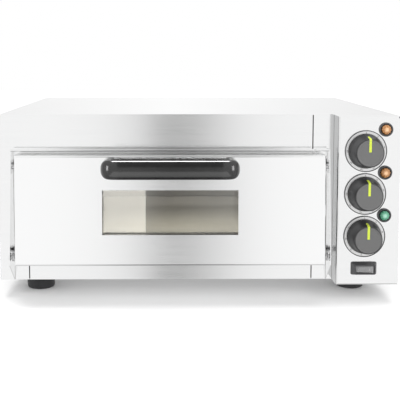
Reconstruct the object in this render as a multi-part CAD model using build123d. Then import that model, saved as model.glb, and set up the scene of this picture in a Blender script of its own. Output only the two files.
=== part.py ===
"""Countertop single-deck baking oven: a stainless casing round an insulated chamber with a baking stone,
a drop-down door with a window on two pivot bolts, and a control column on the right.

Bench frame used below, in millimetres: x from the casing's left face, y from the front sheet's outer face
(negative is towards the user), z from the surface the feet stand on. The parts are written in the row frame,
whose origin is the centre of the overall footprint: to_row moves them there.
"""
from build123d import *
from math import atan, cos, degrees, radians, tan
import os

# ---- overall sizes -------------------------------------------------------------------------------
overall_width = 568.0
body_height = 240.0
body_depth = 415.0
foot_height = 28.0
control_width = 88.0            # control column on the right
control_step = 30.0             # how far the control column stands in front of the front sheet

# ---- sheet metal ---------------------------------------------------------------------------------
sheet = 1.0                     # casing sheet
liner = 0.8                     # chamber liner sheet
seam = 0.2                      # gap where two sheets meet
open_seam = 1.5                 # wider visible joint between the front sheets
bend = 2.5                      # outside radius of a folded edge
return_flange = 12.0            # depth of a folded-back edge

# ---- chamber -------------------------------------------------------------------------------------
left_jacket = 43.5              # casing's left face to the inside of the chamber
right_jacket = 31.5             # inside of the chamber to the control column
rear_wool = 18.0
roof_wool = 40.0
floor_gap = 11.0                # base sheet to the liner's floor
roof_gap = 67.0                 # inside of the chamber's ceiling to the top of the casing
wool_gap = 0.4                  # clearance round a wool blanket
stone_thickness = 13.0
stone_clearance = 2.5
under_stone = 23.7              # liner floor to the underside of the stone
mouth_sill_drop = 1.5           # the mouth's lower edge lies this far under the stone's face
stone_rail_width = 12.0

# ---- front ---------------------------------------------------------------------------------------
header_height = 51.4
lip_reach = 16.0                # collar over the door
lip_roll = 1.7                  # radius of the collar's rolled edge
cheek_reach = 35.0              # hinge cheek beside the door, at its lower end
cheek_knee = 30.0               # height above the base where the cheek stands out furthest
door_lap = 12.5                 # door past the mouth on each side
cheek_gap = 9.8                 # door's side to the cheek
rail_reveal = 33.6              # front rail seen under the door
rail_height = 40.0
seam_inset = 1.5                # front joints lie this far outside the chamber's inside faces

# ---- door ----------------------------------------------------------------------------------------
door_top_gap = 2.2
door_back_gap = 1.2             # door's back to the front sheet
door_foot_depth = 51.0          # door's lower front edge in front of the front sheet
door_head_depth = 44.4          # door's upper front edge, a little further back
door_toe = 8.2                  # bevel of the lower back edge, clear of the front sheet as the door drops
window_width = 188.0
window_sill = 43.0              # door's lower edge to the window
window_head = 47.8              # window to the door's upper edge
window_reveal = 8.0             # folded edge round the window
glass_thickness = 4.0
glass_lap = 8.0                 # glass past the window on each side
back_window_margin = 12.0       # the inner window is larger by this on each side
hinge_depth = 22.0              # pivot axis in front of the front sheet
hinge_rise = 5.4                # pivot axis above the door's lower edge
pivot_radius = 3.0
running_clearance = 0.05
latch_depth = 15.0
latch_drop = 19.9               # latch pin under the door's upper edge
latch_pin_radius = 2.0
vent_slot_offsets = (94.2, 188.5)

# ---- handle --------------------------------------------------------------------------------------
handle_length = 189.0
handle_height = 27.2
handle_reach = 36.0
handle_grip = 14.0
handle_leg = 15.0
handle_drop = 16.6              # handle's middle under the door's upper edge

# ---- heating elements, lamp and sensors ----------------------------------------------------------
element_count = 3
tube_radius = 3.5
tube_hole = 4.0
leg_spacing = 55.0
element_end_gap = 22.0
element_drop = 10.0             # tube axis under the ceiling, and above the liner floor
ceramic_radius = 5.0
support_inset = 107.0
lamp_radius = 21.0
lamp_depth_share = 2 / 3
lamp_dome = 12.0
sensor_radius = 2.5
sensor_length = 88.0
capillary_radius = 0.9

# ---- controls ------------------------------------------------------------------------------------
dial_inset = 38.8               # dial axis from the column's left face
dial_drop = 49.4                # upper dial axis under the top
switch_rise = 24.2              # switch axis above the base
switch_gap = 45.5               # switch axis to the lowest dial axis
dial_gap = 1.85
lamp_column = 29.4              # width kept beside the dials for the pilot lamps
pilot_inset = 21.8              # pilot axis from the column's right face
pilot_radius = 9.9
pilot_hole = 6.6
dial_thickness = 1.2
dial_rim = 2.2
scale_ring = 5.3                # ring of the dial seen round the knob
knob_taper = 4.6
knob_height = 24.0
knob_gap = 0.6
shaft_radius = 3.0
pointer_width = 3.8
switch_width, switch_height, switch_reach = 36.8, 18.8, 9.5
switch_face_width, switch_face_height = 29.6, 14.0
rocker_width, rocker_height = 24.4, 9.6
rocker_rest_tilt = 8.0

# ---- feet, screws, cable entry -------------------------------------------------------------------
foot_inset_x, foot_inset_y = 48.0, 62.0
foot_top_radius, foot_base_radius = 23.0, 20.2
foot_screw_radius = 2.5
screw_length = 5.0              # casing screws under the head
terminal_inset = 98.0           # terminal block's middle from the back
terminal_side = 34.0            # and from the right face
gland_bore = 4.6
gland_reach = 18.0
gland_rise = 34.0               # gland axis above the base
gland_inset = 44.0              # gland axis from the right face

# ---- places worked out from the sizes ------------------------------------------------------------
base = foot_height
top = foot_height + body_height
control_left = overall_width - control_width
control_front = -control_step
chamber_left = left_jacket
chamber_right = control_left - right_jacket
chamber_back = body_depth - sheet - rear_wool - liner
chamber_floor = base + sheet + floor_gap
chamber_top = top - roof_gap
stone_bottom = chamber_floor + under_stone
stone_top = stone_bottom + stone_thickness
mouth_bottom = stone_top - mouth_sill_drop
lip = top - header_height
header_seam = chamber_right + seam_inset
rail_left, rail_right = chamber_left - seam_inset, chamber_right + seam_inset
door_left, door_right = chamber_left - door_lap, chamber_right + door_lap
door_middle = (door_left + door_right) / 2
door_bottom = base + rail_reveal
door_top = lip - door_top_gap
door_lean = degrees(atan((door_foot_depth - door_head_depth) / (door_top - door_bottom)))
cheek_left, cheek_right = door_left - cheek_gap, door_right + cheek_gap
window_bottom, window_top = door_bottom + window_sill, door_top - window_head
hinge_y, hinge_z = -hinge_depth, door_bottom + hinge_rise
latch_y, latch_z = -latch_depth, door_top - latch_drop
upper_tube_z, lower_tube_z = chamber_top - element_drop, chamber_floor + element_drop
element_pitch = (chamber_back - sheet) / element_count
element_middles = [sheet + element_pitch * (i + 0.5) for i in range(element_count)]
leg_places = [y + side * leg_spacing / 2 for y in element_middles for side in (-1, 1)]
sensor_y = (leg_places[1] + leg_places[2]) / 2
lamp_y = chamber_back * lamp_depth_share
lamp_z = (stone_top + upper_tube_z - tube_radius) / 2
dial_pitch = (body_height - dial_drop - switch_rise - switch_gap) / 2
dial_radius = min(dial_pitch - dial_gap, control_width - lamp_column) / 2
dial_x = control_left + dial_inset
dial_heights = [top - dial_drop - i * dial_pitch for i in range(3)]
pilot_x = overall_width - pilot_inset
pilot_heights = [z + dial_pitch / 2 for z in dial_heights]
switch_z = base + switch_rise
rocker_y = control_front - 5.5
gland_x, gland_z = overall_width - gland_inset, base + gland_rise
terminal_x = overall_width - terminal_side
foot_places = [(x, y) for x in (foot_inset_x, overall_width - foot_inset_x)
               for y in (foot_inset_y, body_depth - foot_inset_y)]
handle_z = door_top - handle_drop
handle_face = -door_foot_depth + (handle_z - door_bottom) * tan(radians(door_lean))
front_reach = -handle_face + handle_reach * cos(radians(door_lean))
to_row = Pos(-overall_width / 2, (front_reach - gland_reach - body_depth) / 2, 0)


# ---- small tools ---------------------------------------------------------------------------------
def block(x0, x1, y0, y1, z0, z1):
    """A box between two corners."""
    return Pos((x0 + x1) / 2, (y0 + y1) / 2, (z0 + z1) / 2) * Box(x1 - x0, y1 - y0, z1 - z0)


def rod(radius, start, direction, length):
    """A cylinder from a point along a direction."""
    return extrude(Plane(origin=start, z_dir=direction) * Circle(radius), length)


def hole(radius, start, direction, length):
    """A cutter for a hole through a sheet of the given thickness, standing out past both faces."""
    back = tuple(s - d * 0.5 for s, d in zip(start, direction))
    return rod(radius, back, direction, length + 1.0)


def ring(outer, inner, start, direction, length):
    """A round tube from a point along a direction."""
    return rod(outer, start, direction, length) - rod(inner, start, direction, length)


def slab_of(points, plane, x0, x1):
    """A polygon given as (y, z) pairs, drawn out along x."""
    face = make_face(Polyline(*[(x0, y, z) for y, z in points], close=True))
    return extrude(face, x1 - x0, dir=plane)


def edges_at(shape, axis, **place):
    """Edges parallel to an axis whose middle has the given coordinates."""
    return [e for e in shape.edges().filter_by(axis)
            if all(abs(getattr(e.center(), k) - v) < 0.02 for k, v in place.items())]


def turned(points, start, direction):
    """A solid of revolution: points are (radius, distance along direction) from start."""
    frame = Plane(origin=start, z_dir=direction)
    face = make_face(Polyline(*[(r, 0, h) for r, h in points], close=True))
    return frame * revolve(face, Axis.Z)


def hexagon(flats, start, direction, length):
    """A six-sided bar, flats across, from a point along a direction."""
    outline = RegularPolygon(flats / 2, 6, major_radius=False)
    return extrude(Plane(origin=start, z_dir=direction) * outline, length)


def along(axis_shape, step, count):
    """Copies of a shape, each moved one step further."""
    return [Pos(*(k * i for k in step)) * axis_shape for i in range(count)]


def group(*shapes):
    """Separate solids that share one node."""
    return Compound(children=[s for shape in shapes for s in shape.solids()])


# ---- casing --------------------------------------------------------------------------------------
def base_pan():
    inner = sheet + seam
    pan = block(inner, control_left - seam, inner, body_depth - inner, base, base + sheet)
    pan = chamfer(edges_at(pan, Axis.Z, X=inner, Y=inner), bend)
    pan += block(control_left + inner, overall_width - inner, control_front + return_flange + seam,
                 body_depth - inner, base, base + sheet)
    pan += block(control_left - seam, control_left + inner, return_flange + seam, body_depth - inner,
                 base, base + sheet)
    rim = base + 10.0
    pan += block(inner, inner + sheet, return_flange + seam, body_depth - inner, base, rim)
    pan += block(overall_width - inner - sheet, overall_width - inner, return_flange, body_depth - inner,
                 base, rim)
    pan += block(inner, overall_width - inner, body_depth - inner - sheet, body_depth - inner, base, rim)
    for x, y in foot_places:
        pan -= hole(foot_screw_radius + 0.25, (x, y, base), (0, 0, 1), sheet)
    slot = Pos(gland_x, body_depth / 3, base + sheet / 2) * Box(44, 4, 2 * sheet)
    for vent in along(slot, (0, 12, 0), 6):
        pan -= vent
    return pan


def side_panel(x, front):
    return block(x, x + sheet, front + return_flange + seam, body_depth, base, top - return_flange - seam)


def right_side_panel():
    panel = side_panel(overall_width - sheet, control_front)
    slot = Pos(overall_width - sheet / 2, body_depth * 0.7, base + 40) * Box(3 * sheet, 70, 4)
    for vent in along(slot, (0, 0, 11), 6):
        panel -= vent
    return panel


def top_cover():
    """Folded lid: sheet over both fronts, turned down at the sides and the back."""
    x0, x1 = 0.0, overall_width
    low = top - return_flange
    outer = block(x0, x1, 0, body_depth, low, top)
    outer = fillet(edges_at(outer, Axis.Y, Z=top) + edges_at(outer, Axis.X, Y=body_depth, Z=top), bend)
    hollow = block(x0 + sheet, x1 - sheet, -1, body_depth - sheet, low - 1, top - sheet)
    hollow = fillet(edges_at(hollow, Axis.Y, Z=top - sheet)
                    + edges_at(hollow, Axis.X, Y=body_depth - sheet, Z=top - sheet), bend - sheet)
    lid = outer - hollow
    step = block(control_left, x1, control_front, 0, low, top)
    step = fillet(edges_at(step, Axis.Y, X=x1, Z=top), bend)
    step_hollow = block(control_left - 1, x1 - sheet, control_front - 1, 1, low - 1, top - sheet)
    step_hollow = fillet(edges_at(step_hollow, Axis.Y, X=x1 - sheet, Z=top - sheet), bend - sheet)
    lid += step - step_hollow
    clear = top - bend - sheet
    lid -= block(-1, sheet + seam, -1, return_flange + seam, low - 1, clear)
    lid -= block(x1 - sheet - seam, x1 + 1, control_front - 1, control_front + return_flange + seam,
                 low - 1, clear)
    for screw in cover_screw_places():
        lid -= hole(1.7, screw[0], screw[1], sheet)
    return lid


def cover_screw_places():
    """Head face and inward direction of each screw in the lid's side flanges."""
    z = top - return_flange / 2
    rows = (body_depth * 0.12, body_depth * 0.5, body_depth * 0.88)
    return [((x, y, z), (d, 0, 0)) for x, d in ((0, 1), (overall_width, -1)) for y in rows]


def rear_screw_places():
    zs = (base + 18, top - 30)
    xs = (14.0, overall_width / 2, overall_width - 14.0)
    return [((x, body_depth, z), (0, -1, 0)) for x in xs for z in zs]


def rear_panel():
    inner = sheet + seam
    panel = block(inner, overall_width - inner, body_depth - sheet, body_depth,
                  base, top - return_flange - seam)
    panel -= hole(8.1, (gland_x, body_depth - sheet, gland_z), (0, 1, 0), sheet)
    slot = Pos(gland_x, body_depth - sheet / 2, gland_z + 45) * Box(56, 3 * sheet, 4)
    for vent in along(slot, (0, 0, 11), 8):
        panel -= vent
    for place, way in rear_screw_places():
        panel -= hole(1.7, place, way, sheet)
    return panel


def cheek(x):
    """Hinge cheek: stands forward beside the door, further at its lower end, cut back to the base below."""
    profile = [(sheet, base), (0, base), (-cheek_reach, base + cheek_knee), (-lip_reach, lip + sheet),
               (sheet, lip + sheet)]
    plate = slab_of(profile, (1, 0, 0), x, x + sheet)
    return plate - hole(pivot_radius + 0.1, (x, hinge_y, hinge_z), (1, 0, 0), sheet)


def lip_over_door(x0, x1):
    """Collar over the door: a shelf bent out at the header's foot, with a rolled front edge."""
    shelf = block(x0, x1, -lip_reach + lip_roll, 0, lip, lip + sheet)
    inside = block(x0, x1, -bend, 0, lip + sheet, lip + sheet + bend)
    shelf += inside - rod(bend, (x0 - 1, -bend, lip + sheet + bend), (1, 0, 0), x1 - x0 + 2)
    return shelf + rod(lip_roll, (x0, -lip_reach + lip_roll, lip + lip_roll), (1, 0, 0), x1 - x0)


def front_frame():
    """Header and left post in one sheet, with the collar over the door and the left hinge cheek."""
    right = header_seam - open_seam / 2
    corner = top - bend - sheet - seam
    frame = block(0, cheek_left, 0, sheet, base, corner)
    frame += block(0, sheet, 0, return_flange, base, corner)
    frame = fillet(edges_at(frame, Axis.Z, X=0, Y=0), bend)
    frame = fillet(edges_at(frame, Axis.Z, X=sheet, Y=sheet), bend - sheet)
    frame += block(bend + sheet, right, 0, sheet, lip, top - sheet)
    frame += lip_over_door(cheek_left - sheet, right)
    return frame + cheek(cheek_left - sheet)


def right_front_post():
    """Narrow upright beside the control column, with its share of the header and the right hinge cheek."""
    left = header_seam + open_seam / 2
    right = control_left - seam
    post = block(left, right, 0, sheet, lip, top - sheet)
    post += block(cheek_right, right, 0, sheet, base, lip)
    post += lip_over_door(left, cheek_right + sheet)
    return post + cheek(cheek_right)


def lower_front_rail():
    x0, x1 = rail_left + open_seam / 2, rail_right - open_seam / 2
    rail = block(x0, x1, 0, sheet, base, base + rail_height)
    return rail + block(x0, x1, 0, return_flange, base + sheet, base + 2 * sheet)


def mouth_frame():
    """Sheet round the chamber's mouth, behind the door."""
    frame = block(cheek_left + seam, cheek_right - seam, 0, sheet, base, lip - seam)
    frame -= block(chamber_left, chamber_right, -1, 2, mouth_bottom, chamber_top)
    frame -= block(rail_left - open_seam / 2, rail_right + open_seam / 2, -1, 2,
                   base - 1, base + rail_height + seam)
    return frame


def control_panel():
    """Folded front of the control column, with the holes for its dials, pilot lamps and switch."""
    back = control_front + return_flange
    outer = block(control_left, overall_width, control_front, back, base, top - sheet)
    front_edges = (edges_at(outer, Axis.Z, X=control_left, Y=control_front)
                   + edges_at(outer, Axis.Z, X=overall_width, Y=control_front)
                   + edges_at(outer, Axis.X, Y=control_front, Z=base))
    panel = fillet(front_edges, bend)
    hollow = block(control_left + sheet, overall_width - sheet, control_front + sheet, back + 1,
                   base + sheet, top)
    hollow_edges = (edges_at(hollow, Axis.Z, X=control_left + sheet, Y=control_front + sheet)
                    + edges_at(hollow, Axis.Z, X=overall_width - sheet, Y=control_front + sheet)
                    + edges_at(hollow, Axis.X, Y=control_front + sheet, Z=base + sheet))
    panel -= fillet(hollow_edges, bend - sheet)
    panel += block(control_left, control_left + sheet, back, return_flange, base, top - sheet)
    clear = top - bend - sheet - seam
    panel -= block(overall_width - bend - sheet, overall_width + 1, control_front - 1, back + 1, clear, top)
    for z in dial_heights:
        panel -= hole(shaft_radius + 2, (dial_x, control_front, z), (0, 1, 0), sheet)
    for z in pilot_heights:
        panel -= hole(pilot_hole, (pilot_x, control_front, z), (0, 1, 0), sheet)
    return panel - block(dial_x - 15.2, dial_x + 15.2, control_front - 1, control_front + 2,
                         switch_z - 6.7, switch_z + 6.7)


def partition_wall():
    """Bulkhead between the chamber's jacket and the control column."""
    wall = block(control_left, control_left + sheet, return_flange + seam, body_depth - 2 * (sheet + seam),
                 base + sheet, top - sheet - seam)
    for y in leg_places:
        for z in (upper_tube_z, lower_tube_z):
            wall -= hole(ceramic_radius + 0.3, (control_left, y, z), (1, 0, 0), sheet)
    for z in sensor_heights():
        wall -= hole(2.0, (control_left, sensor_y, z), (1, 0, 0), sheet)
    return wall - hole(lamp_radius + 0.3, (control_left, lamp_y, lamp_z), (1, 0, 0), sheet)


def feet():
    """Four moulded rubber feet, each with a recess for its screw."""
    profile = [(foot_screw_radius + 0.2, foot_height), (foot_top_radius, foot_height),
               (foot_base_radius + 0.6, 3.0), (foot_base_radius - 1.2, 0), (7.0, 0), (7.0, 12.0),
               (foot_screw_radius + 0.2, 12.0)]
    return group(*[turned(profile, (x, y, 0), (0, 0, 1)) for x, y in foot_places])


def foot_fasteners():
    pieces = []
    for x, y in foot_places:
        screw = rod(4.8, (x, y, 8.6), (0, 0, 1), 3.4)
        screw += rod(foot_screw_radius, (x, y, 12), (0, 0, 1), foot_height - 4)
        nut = hexagon(8.0, (x, y, base + sheet), (0, 0, 1), 4.0)
        pieces += [screw, nut - rod(foot_screw_radius + 0.05, (x, y, base + sheet), (0, 0, 1), 4.0)]
    return group(*pieces)


def pan_screw(place, way):
    """Small pan-head screw: place is on the outer face, way points inwards."""
    x, y, z = place
    dx, dy, dz = way
    head = (x - 1.8 * dx, y - 1.8 * dy, z - 1.8 * dz)
    return rod(3.2, head, way, 1.8) + rod(1.6, place, way, screw_length)


def casing_screws():
    return group(*[pan_screw(*s) for s in cover_screw_places() + rear_screw_places()])


# ---- chamber -------------------------------------------------------------------------------------
def liner_sheets():
    """The five sheets of the baking chamber's liner, by node name."""
    x0, x1, back = chamber_left, chamber_right, chamber_back
    sheet_above = block(x0 - liner, x1 + liner, sheet, back + liner, chamber_top, chamber_top + liner)
    sheet_below = block(x0 - liner, x1 + liner, sheet, back + liner, chamber_floor - liner, chamber_floor)
    right = block(x1, x1 + liner, sheet, back + liner, chamber_floor, chamber_top)
    for y in leg_places:
        for z in (upper_tube_z, lower_tube_z):
            right -= hole(tube_hole, (x1, y, z), (1, 0, 0), liner)
    for z in sensor_heights():
        right -= hole(sensor_radius + 0.3, (x1, sensor_y, z), (1, 0, 0), liner)
    right -= hole(lamp_radius + 0.3, (x1, lamp_y, lamp_z), (1, 0, 0), liner)
    return {
        "chamber_ceiling": sheet_above,
        "chamber_floor": sheet_below,
        "chamber_left_wall": block(x0 - liner, x0, sheet, back + liner, chamber_floor, chamber_top),
        "chamber_right_wall": right,
        "chamber_back_wall": block(x0, x1, back, back + liner, chamber_floor, chamber_top),
    }


def stone_rails():
    """Two angles on the side walls that carry the stone."""
    rails = []
    for wall, way in ((chamber_left, 1), (chamber_right, -1)):
        x0, x1 = sorted((wall, wall + way * stone_rail_width))
        leg0, leg1 = sorted((wall, wall + way * liner))
        shelf = block(x0, x1, sheet + seam, chamber_back - seam, stone_bottom - liner, stone_bottom)
        rails.append(shelf + block(leg0, leg1, sheet + seam, chamber_back - seam, stone_bottom - 7.5,
                                   stone_bottom))
    return group(*rails)


def baking_stone():
    stone = block(chamber_left + stone_clearance, chamber_right - stone_clearance, sheet + stone_clearance,
                  chamber_back - stone_clearance, stone_bottom, stone_top)
    return fillet(stone.edges().filter_by(Plane.XY) + stone.edges().filter_by(Axis.Z), 2.0)


def element(y, z):
    """One U-shaped tubular element, entering through the right wall."""
    bend_x = chamber_left + element_end_gap + tube_radius + leg_spacing / 2
    end_x = control_left + sheet + 12.0
    a, b = y - leg_spacing / 2, y + leg_spacing / 2
    path = Line((end_x, a, z), (bend_x, a, z))
    path += ThreePointArc((bend_x, a, z), (bend_x - leg_spacing / 2, y, z), (bend_x, b, z))
    path += Line((bend_x, b, z), (end_x, b, z))
    return sweep(Plane(origin=(end_x, a, z), z_dir=(-1, 0, 0)) * Circle(tube_radius), path)


def elements(z):
    return group(*[element(y, z) for y in element_middles])


def element_ceramics():
    """Insulating beads where the element legs pass the bulkhead."""
    bore = tube_radius + running_clearance
    return group(*[ring(ceramic_radius, bore, (control_left - 4, y, z), (1, 0, 0), 12.0)
                   for y in leg_places for z in (upper_tube_z, lower_tube_z)])


def element_supports():
    """Two strips on the ceiling and two on the floor, pierced for the element legs."""
    strips = []
    upper = (upper_tube_z, chamber_top - 17.0, chamber_top)
    lower = (lower_tube_z, chamber_floor, chamber_floor + 17.0)
    for x in (chamber_left + support_inset, chamber_right - support_inset):
        for tube_z, z0, z1 in (upper, lower):
            strip = block(x, x + 1.2, leg_places[0] - 18, leg_places[-1] + 18, z0, z1)
            for y in leg_places:
                strip -= hole(tube_radius + 0.3, (x, y, tube_z), (1, 0, 0), 1.2)
            strips.append(strip)
    return group(*strips)


def lamp():
    """Oven lamp in the right wall: steel cup with a ceramic-filled back, glass dome and bulb, by node name."""
    x, way = chamber_right, (-1, 0, 0)
    back = control_left + sheet + 20.0
    cup = ring(lamp_radius, lamp_radius - 1.5, (back, lamp_y, lamp_z), way, back - x)
    cup += rod(lamp_radius, (back, lamp_y, lamp_z), way, 2.0)
    cup += ring(lamp_radius + 5, lamp_radius - 1.5, (x, lamp_y, lamp_z), way, 1.5)
    cup += ring(11.0, 7.2, (back - 2, lamp_y, lamp_z), way, 19.5)
    r = lamp_radius + 1.5
    dome = [(0, lamp_dome), (r * 0.55, lamp_dome * 0.86), (r * 0.86, lamp_dome * 0.5), (r, 0), (r - 2.5, 0),
            (r * 0.74, lamp_dome * 0.4), (r * 0.45, lamp_dome * 0.66), (0, lamp_dome - 2.4)]
    glass = turned(dome, (x - 1.5, lamp_y, lamp_z), way)
    bulb = [(0, 0), (7.0, 0), (7.0, 20), (11.0, 30), (11.6, 36), (9.0, 43), (4.0, 47), (0, 48)]
    return {"lamp_holder": cup, "lamp_glass": glass,
            "lamp_bulb": turned(bulb, (back - 2, lamp_y, lamp_z), way)}


def sensor_heights():
    return (upper_tube_z - 13.0, lower_tube_z)


def thermostat_capillaries():
    """Sensor bulb in the chamber and its fine tube to the back of each thermostat."""
    made = []
    for z, dial_z, bend_x in zip(sensor_heights(), dial_heights, (control_left + 14, control_left + 24)):
        start = chamber_right + 6
        bulb = rod(sensor_radius, (start, sensor_y, z), (-1, 0, 0), sensor_length)
        route = [(start, sensor_y, z), (bend_x, sensor_y, z), (bend_x, 45, z), (dial_x, 30, dial_z),
                 (dial_x, control_front + 27, dial_z)]
        path = FilletPolyline(*route, radius=8)
        made.append(bulb + sweep(Plane(origin=route[0], z_dir=(1, 0, 0)) * Circle(capillary_radius), path))
    return group(*made)


def chamber_insulation():
    """Mineral wool blankets: roof, left, right, back and floor."""
    g = wool_gap
    front, back = sheet + g, body_depth - screw_length - 1.0
    low, high = base + sheet + g, chamber_top + liner
    inner_left, inner_right = chamber_left - liner, chamber_right + liner
    roof = block(8, control_left - 8, front, back, high + g, high + g + roof_wool)
    left = block(2 * sheet + seam + g, inner_left - g, front, back, low, high - g)
    right = block(inner_right + g, control_left - g, front, back, low, high - g)
    for y in leg_places:
        for z in (upper_tube_z, lower_tube_z):
            right -= hole(ceramic_radius + 0.6, (inner_right, y, z), (1, 0, 0), right_jacket)
    for z in sensor_heights():
        right -= hole(sensor_radius + 0.6, (inner_right, sensor_y, z), (1, 0, 0), right_jacket)
    right -= hole(lamp_radius + 0.6, (inner_right, lamp_y, lamp_z), (1, 0, 0), right_jacket)
    rear = block(inner_left + g, inner_right - g, chamber_back + liner + g, back, low, high - g)
    floor = block(inner_left + g, inner_right - g, return_flange + g, chamber_back + liner - g,
                  low, chamber_floor - liner - g)
    for x, y in foot_places[:2]:
        floor -= rod(8.0, (x, y, low), (0, 0, 1), floor_gap)
    return group(roof, left, right, rear, floor)


# ---- controls ------------------------------------------------------------------------------------
out = (0, -1, 0)                # towards the user


def dial_plates():
    """Printed aluminium dials with a raised rim, one behind each knob."""
    r = dial_radius
    profile = [(shaft_radius + 2, 0), (r, 0), (r, dial_rim), (r - 1.1, dial_rim), (r - 1.6, dial_thickness),
               (shaft_radius + 2, dial_thickness)]
    return group(*[turned(profile, (dial_x, control_front, z), out) for z in dial_heights])


def knob(z):
    """Tapered knob with its coloured pointer line let into the face and the upper flank."""
    r, h = dial_radius - scale_ring, knob_height
    place = (dial_x, control_front - dial_thickness - knob_gap, z)

    def body(grow):
        tip = r - knob_taper
        return turned([(0, 0), (r + grow, 0), (r + grow, 3), (tip + grow + 0.4, h - 1.6),
                       (tip - 1.2 + grow, h + grow), (0, h + grow)], place, out)

    y1 = place[1] - 8
    line_zone = block(dial_x - pointer_width / 2, dial_x + pointer_width / 2, place[1] - h - 2, y1,
                      z + 1.5, z + r + 2)
    pointer = (body(0.25) - body(-0.8)) & line_zone
    grip = body(0) - pointer - rod(shaft_radius + running_clearance, place, out, h - 6)
    return group(grip - ring(r - 4.5, shaft_radius + 3, place, out, h - 10), pointer)


def shaft(z):
    """Steel spindle of a thermostat or timer; it turns with the knob."""
    length = 8 + dial_thickness + knob_gap + knob_height - 7
    return rod(shaft_radius, (dial_x, control_front + 8, z), out, length)


def thermostat(z):
    """Capillary thermostat screwed behind the panel."""
    half = dial_radius - 9.3
    back = control_front + sheet
    body = block(dial_x - half, dial_x + half, back + 1.5, back + 25, z - half, z + half)
    body += block(dial_x - 8, dial_x + 8, back, back + 1.5, z - half - 1.5, z + half + 1.5)
    return body - rod(shaft_radius + running_clearance, (dial_x, back - 1, z), (0, 1, 0), 9)


def timer_body(z):
    """Clockwork timer with its bell behind it."""
    r = dial_radius - 8.3
    back = control_front + sheet
    body = rod(r, (dial_x, back + 1.5, z), (0, 1, 0), 24) + rod(9.0, (dial_x, back, z), (0, 1, 0), 1.5)
    body -= rod(shaft_radius + running_clearance, (dial_x, back - 1, z), (0, 1, 0), 9)
    bell = [(0, 26), (3, 26), (3, 33), (r - 3, 31), (r - 1, 27), (r, 27), (r - 2, 32.5), (0, 35)]
    return group(body, turned(bell, (dial_x, back, z), (0, 1, 0)))


def pilot_bezels():
    """Pilot lamp bodies: collar in front of the panel, barrel and two blades behind it."""
    made = []
    for z in pilot_heights:
        here = (pilot_x, control_front, z)
        body = ring(pilot_radius, 7.2, here, out, 2.6) + ring(7.6, 5.4, here, out, 0.8)
        body += ring(pilot_hole - 0.2, 5.4, here, (0, 1, 0), 24.0)
        body += rod(pilot_hole - 0.2, (pilot_x, control_front + 22, z), (0, 1, 0), 2.0)
        for dx in (-3.2, 2.4):
            body += block(pilot_x + dx, pilot_x + dx + 0.8, control_front + 24, control_front + 33,
                          z - 2.4, z + 2.4)
        made.append(body)
    return group(*made)


def pilot_lens(z):
    """Domed lens that snaps into a bezel."""
    profile = [(0, -6), (5.2, -6), (5.2, 1), (7.05, 1), (7.05, 3.0), (5.8, 4.7), (3.4, 5.8), (0, 6.2)]
    return turned(profile, (pilot_x, control_front, z), out)


def switch_housing():
    """Tapered splash surround and body of the rocker switch, with the trunnion holes of the rocker."""
    front = control_front - switch_reach
    foot, face = [Plane(origin=(dial_x, y, switch_z), x_dir=(1, 0, 0), z_dir=out)
                  for y in (control_front, front)]
    shell = loft([foot * RectangleRounded(switch_width, switch_height, 2.5),
                  face * RectangleRounded(switch_face_width, switch_face_height, 1.8)], ruled=True)
    shell = chamfer(shell.edges().group_by(Axis.Y)[0], 0.4)
    shell += block(dial_x - 15, dial_x + 15, control_front, control_front + 22, switch_z - 6.5, switch_z + 6.5)
    pocket_w, pocket_h = rocker_width / 2 + 0.9, rocker_height / 2 + 0.45
    shell -= block(dial_x - pocket_w, dial_x + pocket_w, front - 1, control_front - 1, switch_z - pocket_h,
                   switch_z + pocket_h)
    shell -= rod(1.25, (dial_x, rocker_y, switch_z - pocket_h - 1.5), (0, 0, 1), 2 * pocket_h + 3)
    for dx in (-9, 0, 9):
        shell += block(dial_x + dx - 0.4, dial_x + dx + 0.4, control_front + 22, control_front + 31,
                       switch_z - 3, switch_z + 3)
    return shell


def switch_rocker():
    """Rocker with two facets, resting on its off side."""
    w = rocker_width / 2
    outline = Polyline((-w, -3.2), (-0.6, -1.9), (0.6, -1.9), (w, -3.2), (w - 0.8, 2.2), (-w + 0.8, 2.2),
                       close=True)
    rocker = extrude(make_face(outline), rocker_height / 2, both=True)
    rocker += rod(1.2, (0, 0, -rocker_height / 2 - 1.6), (0, 0, 1), rocker_height + 3.2)
    return Pos(dial_x, rocker_y, switch_z) * Rot(0, 0, -rocker_rest_tilt) * rocker


def terminal_block():
    x0, y0 = terminal_x - 22, body_depth - terminal_inset - 12
    body = block(x0, x0 + 44, y0, y0 + 24, base + sheet, base + sheet + 18)
    for i in range(4):
        body -= rod(3.0, (x0 + 5.5 + 11 * i, y0 + 7, base + sheet + 6), (0, 0, 1), 14)
        body -= rod(3.0, (x0 + 5.5 + 11 * i, y0 + 17, base + sheet + 6), (0, 0, 1), 14)
    return body


def wiring_loom():
    """Taped bundle from the terminal block to the back of the controls."""
    z0 = base + sheet + 18
    start = (terminal_x, body_depth - terminal_inset, z0)
    route = [start, (terminal_x, body_depth - terminal_inset, z0 + 34),
             (overall_width - 24, body_depth - 150, z0 + 44), (overall_width - 24, 90, z0 + 44),
             (overall_width - 30, 40, z0 + 90)]
    path = FilletPolyline(*route, radius=14)
    return sweep(Plane(origin=start, z_dir=(0, 0, 1)) * Circle(4.0), path)


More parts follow.
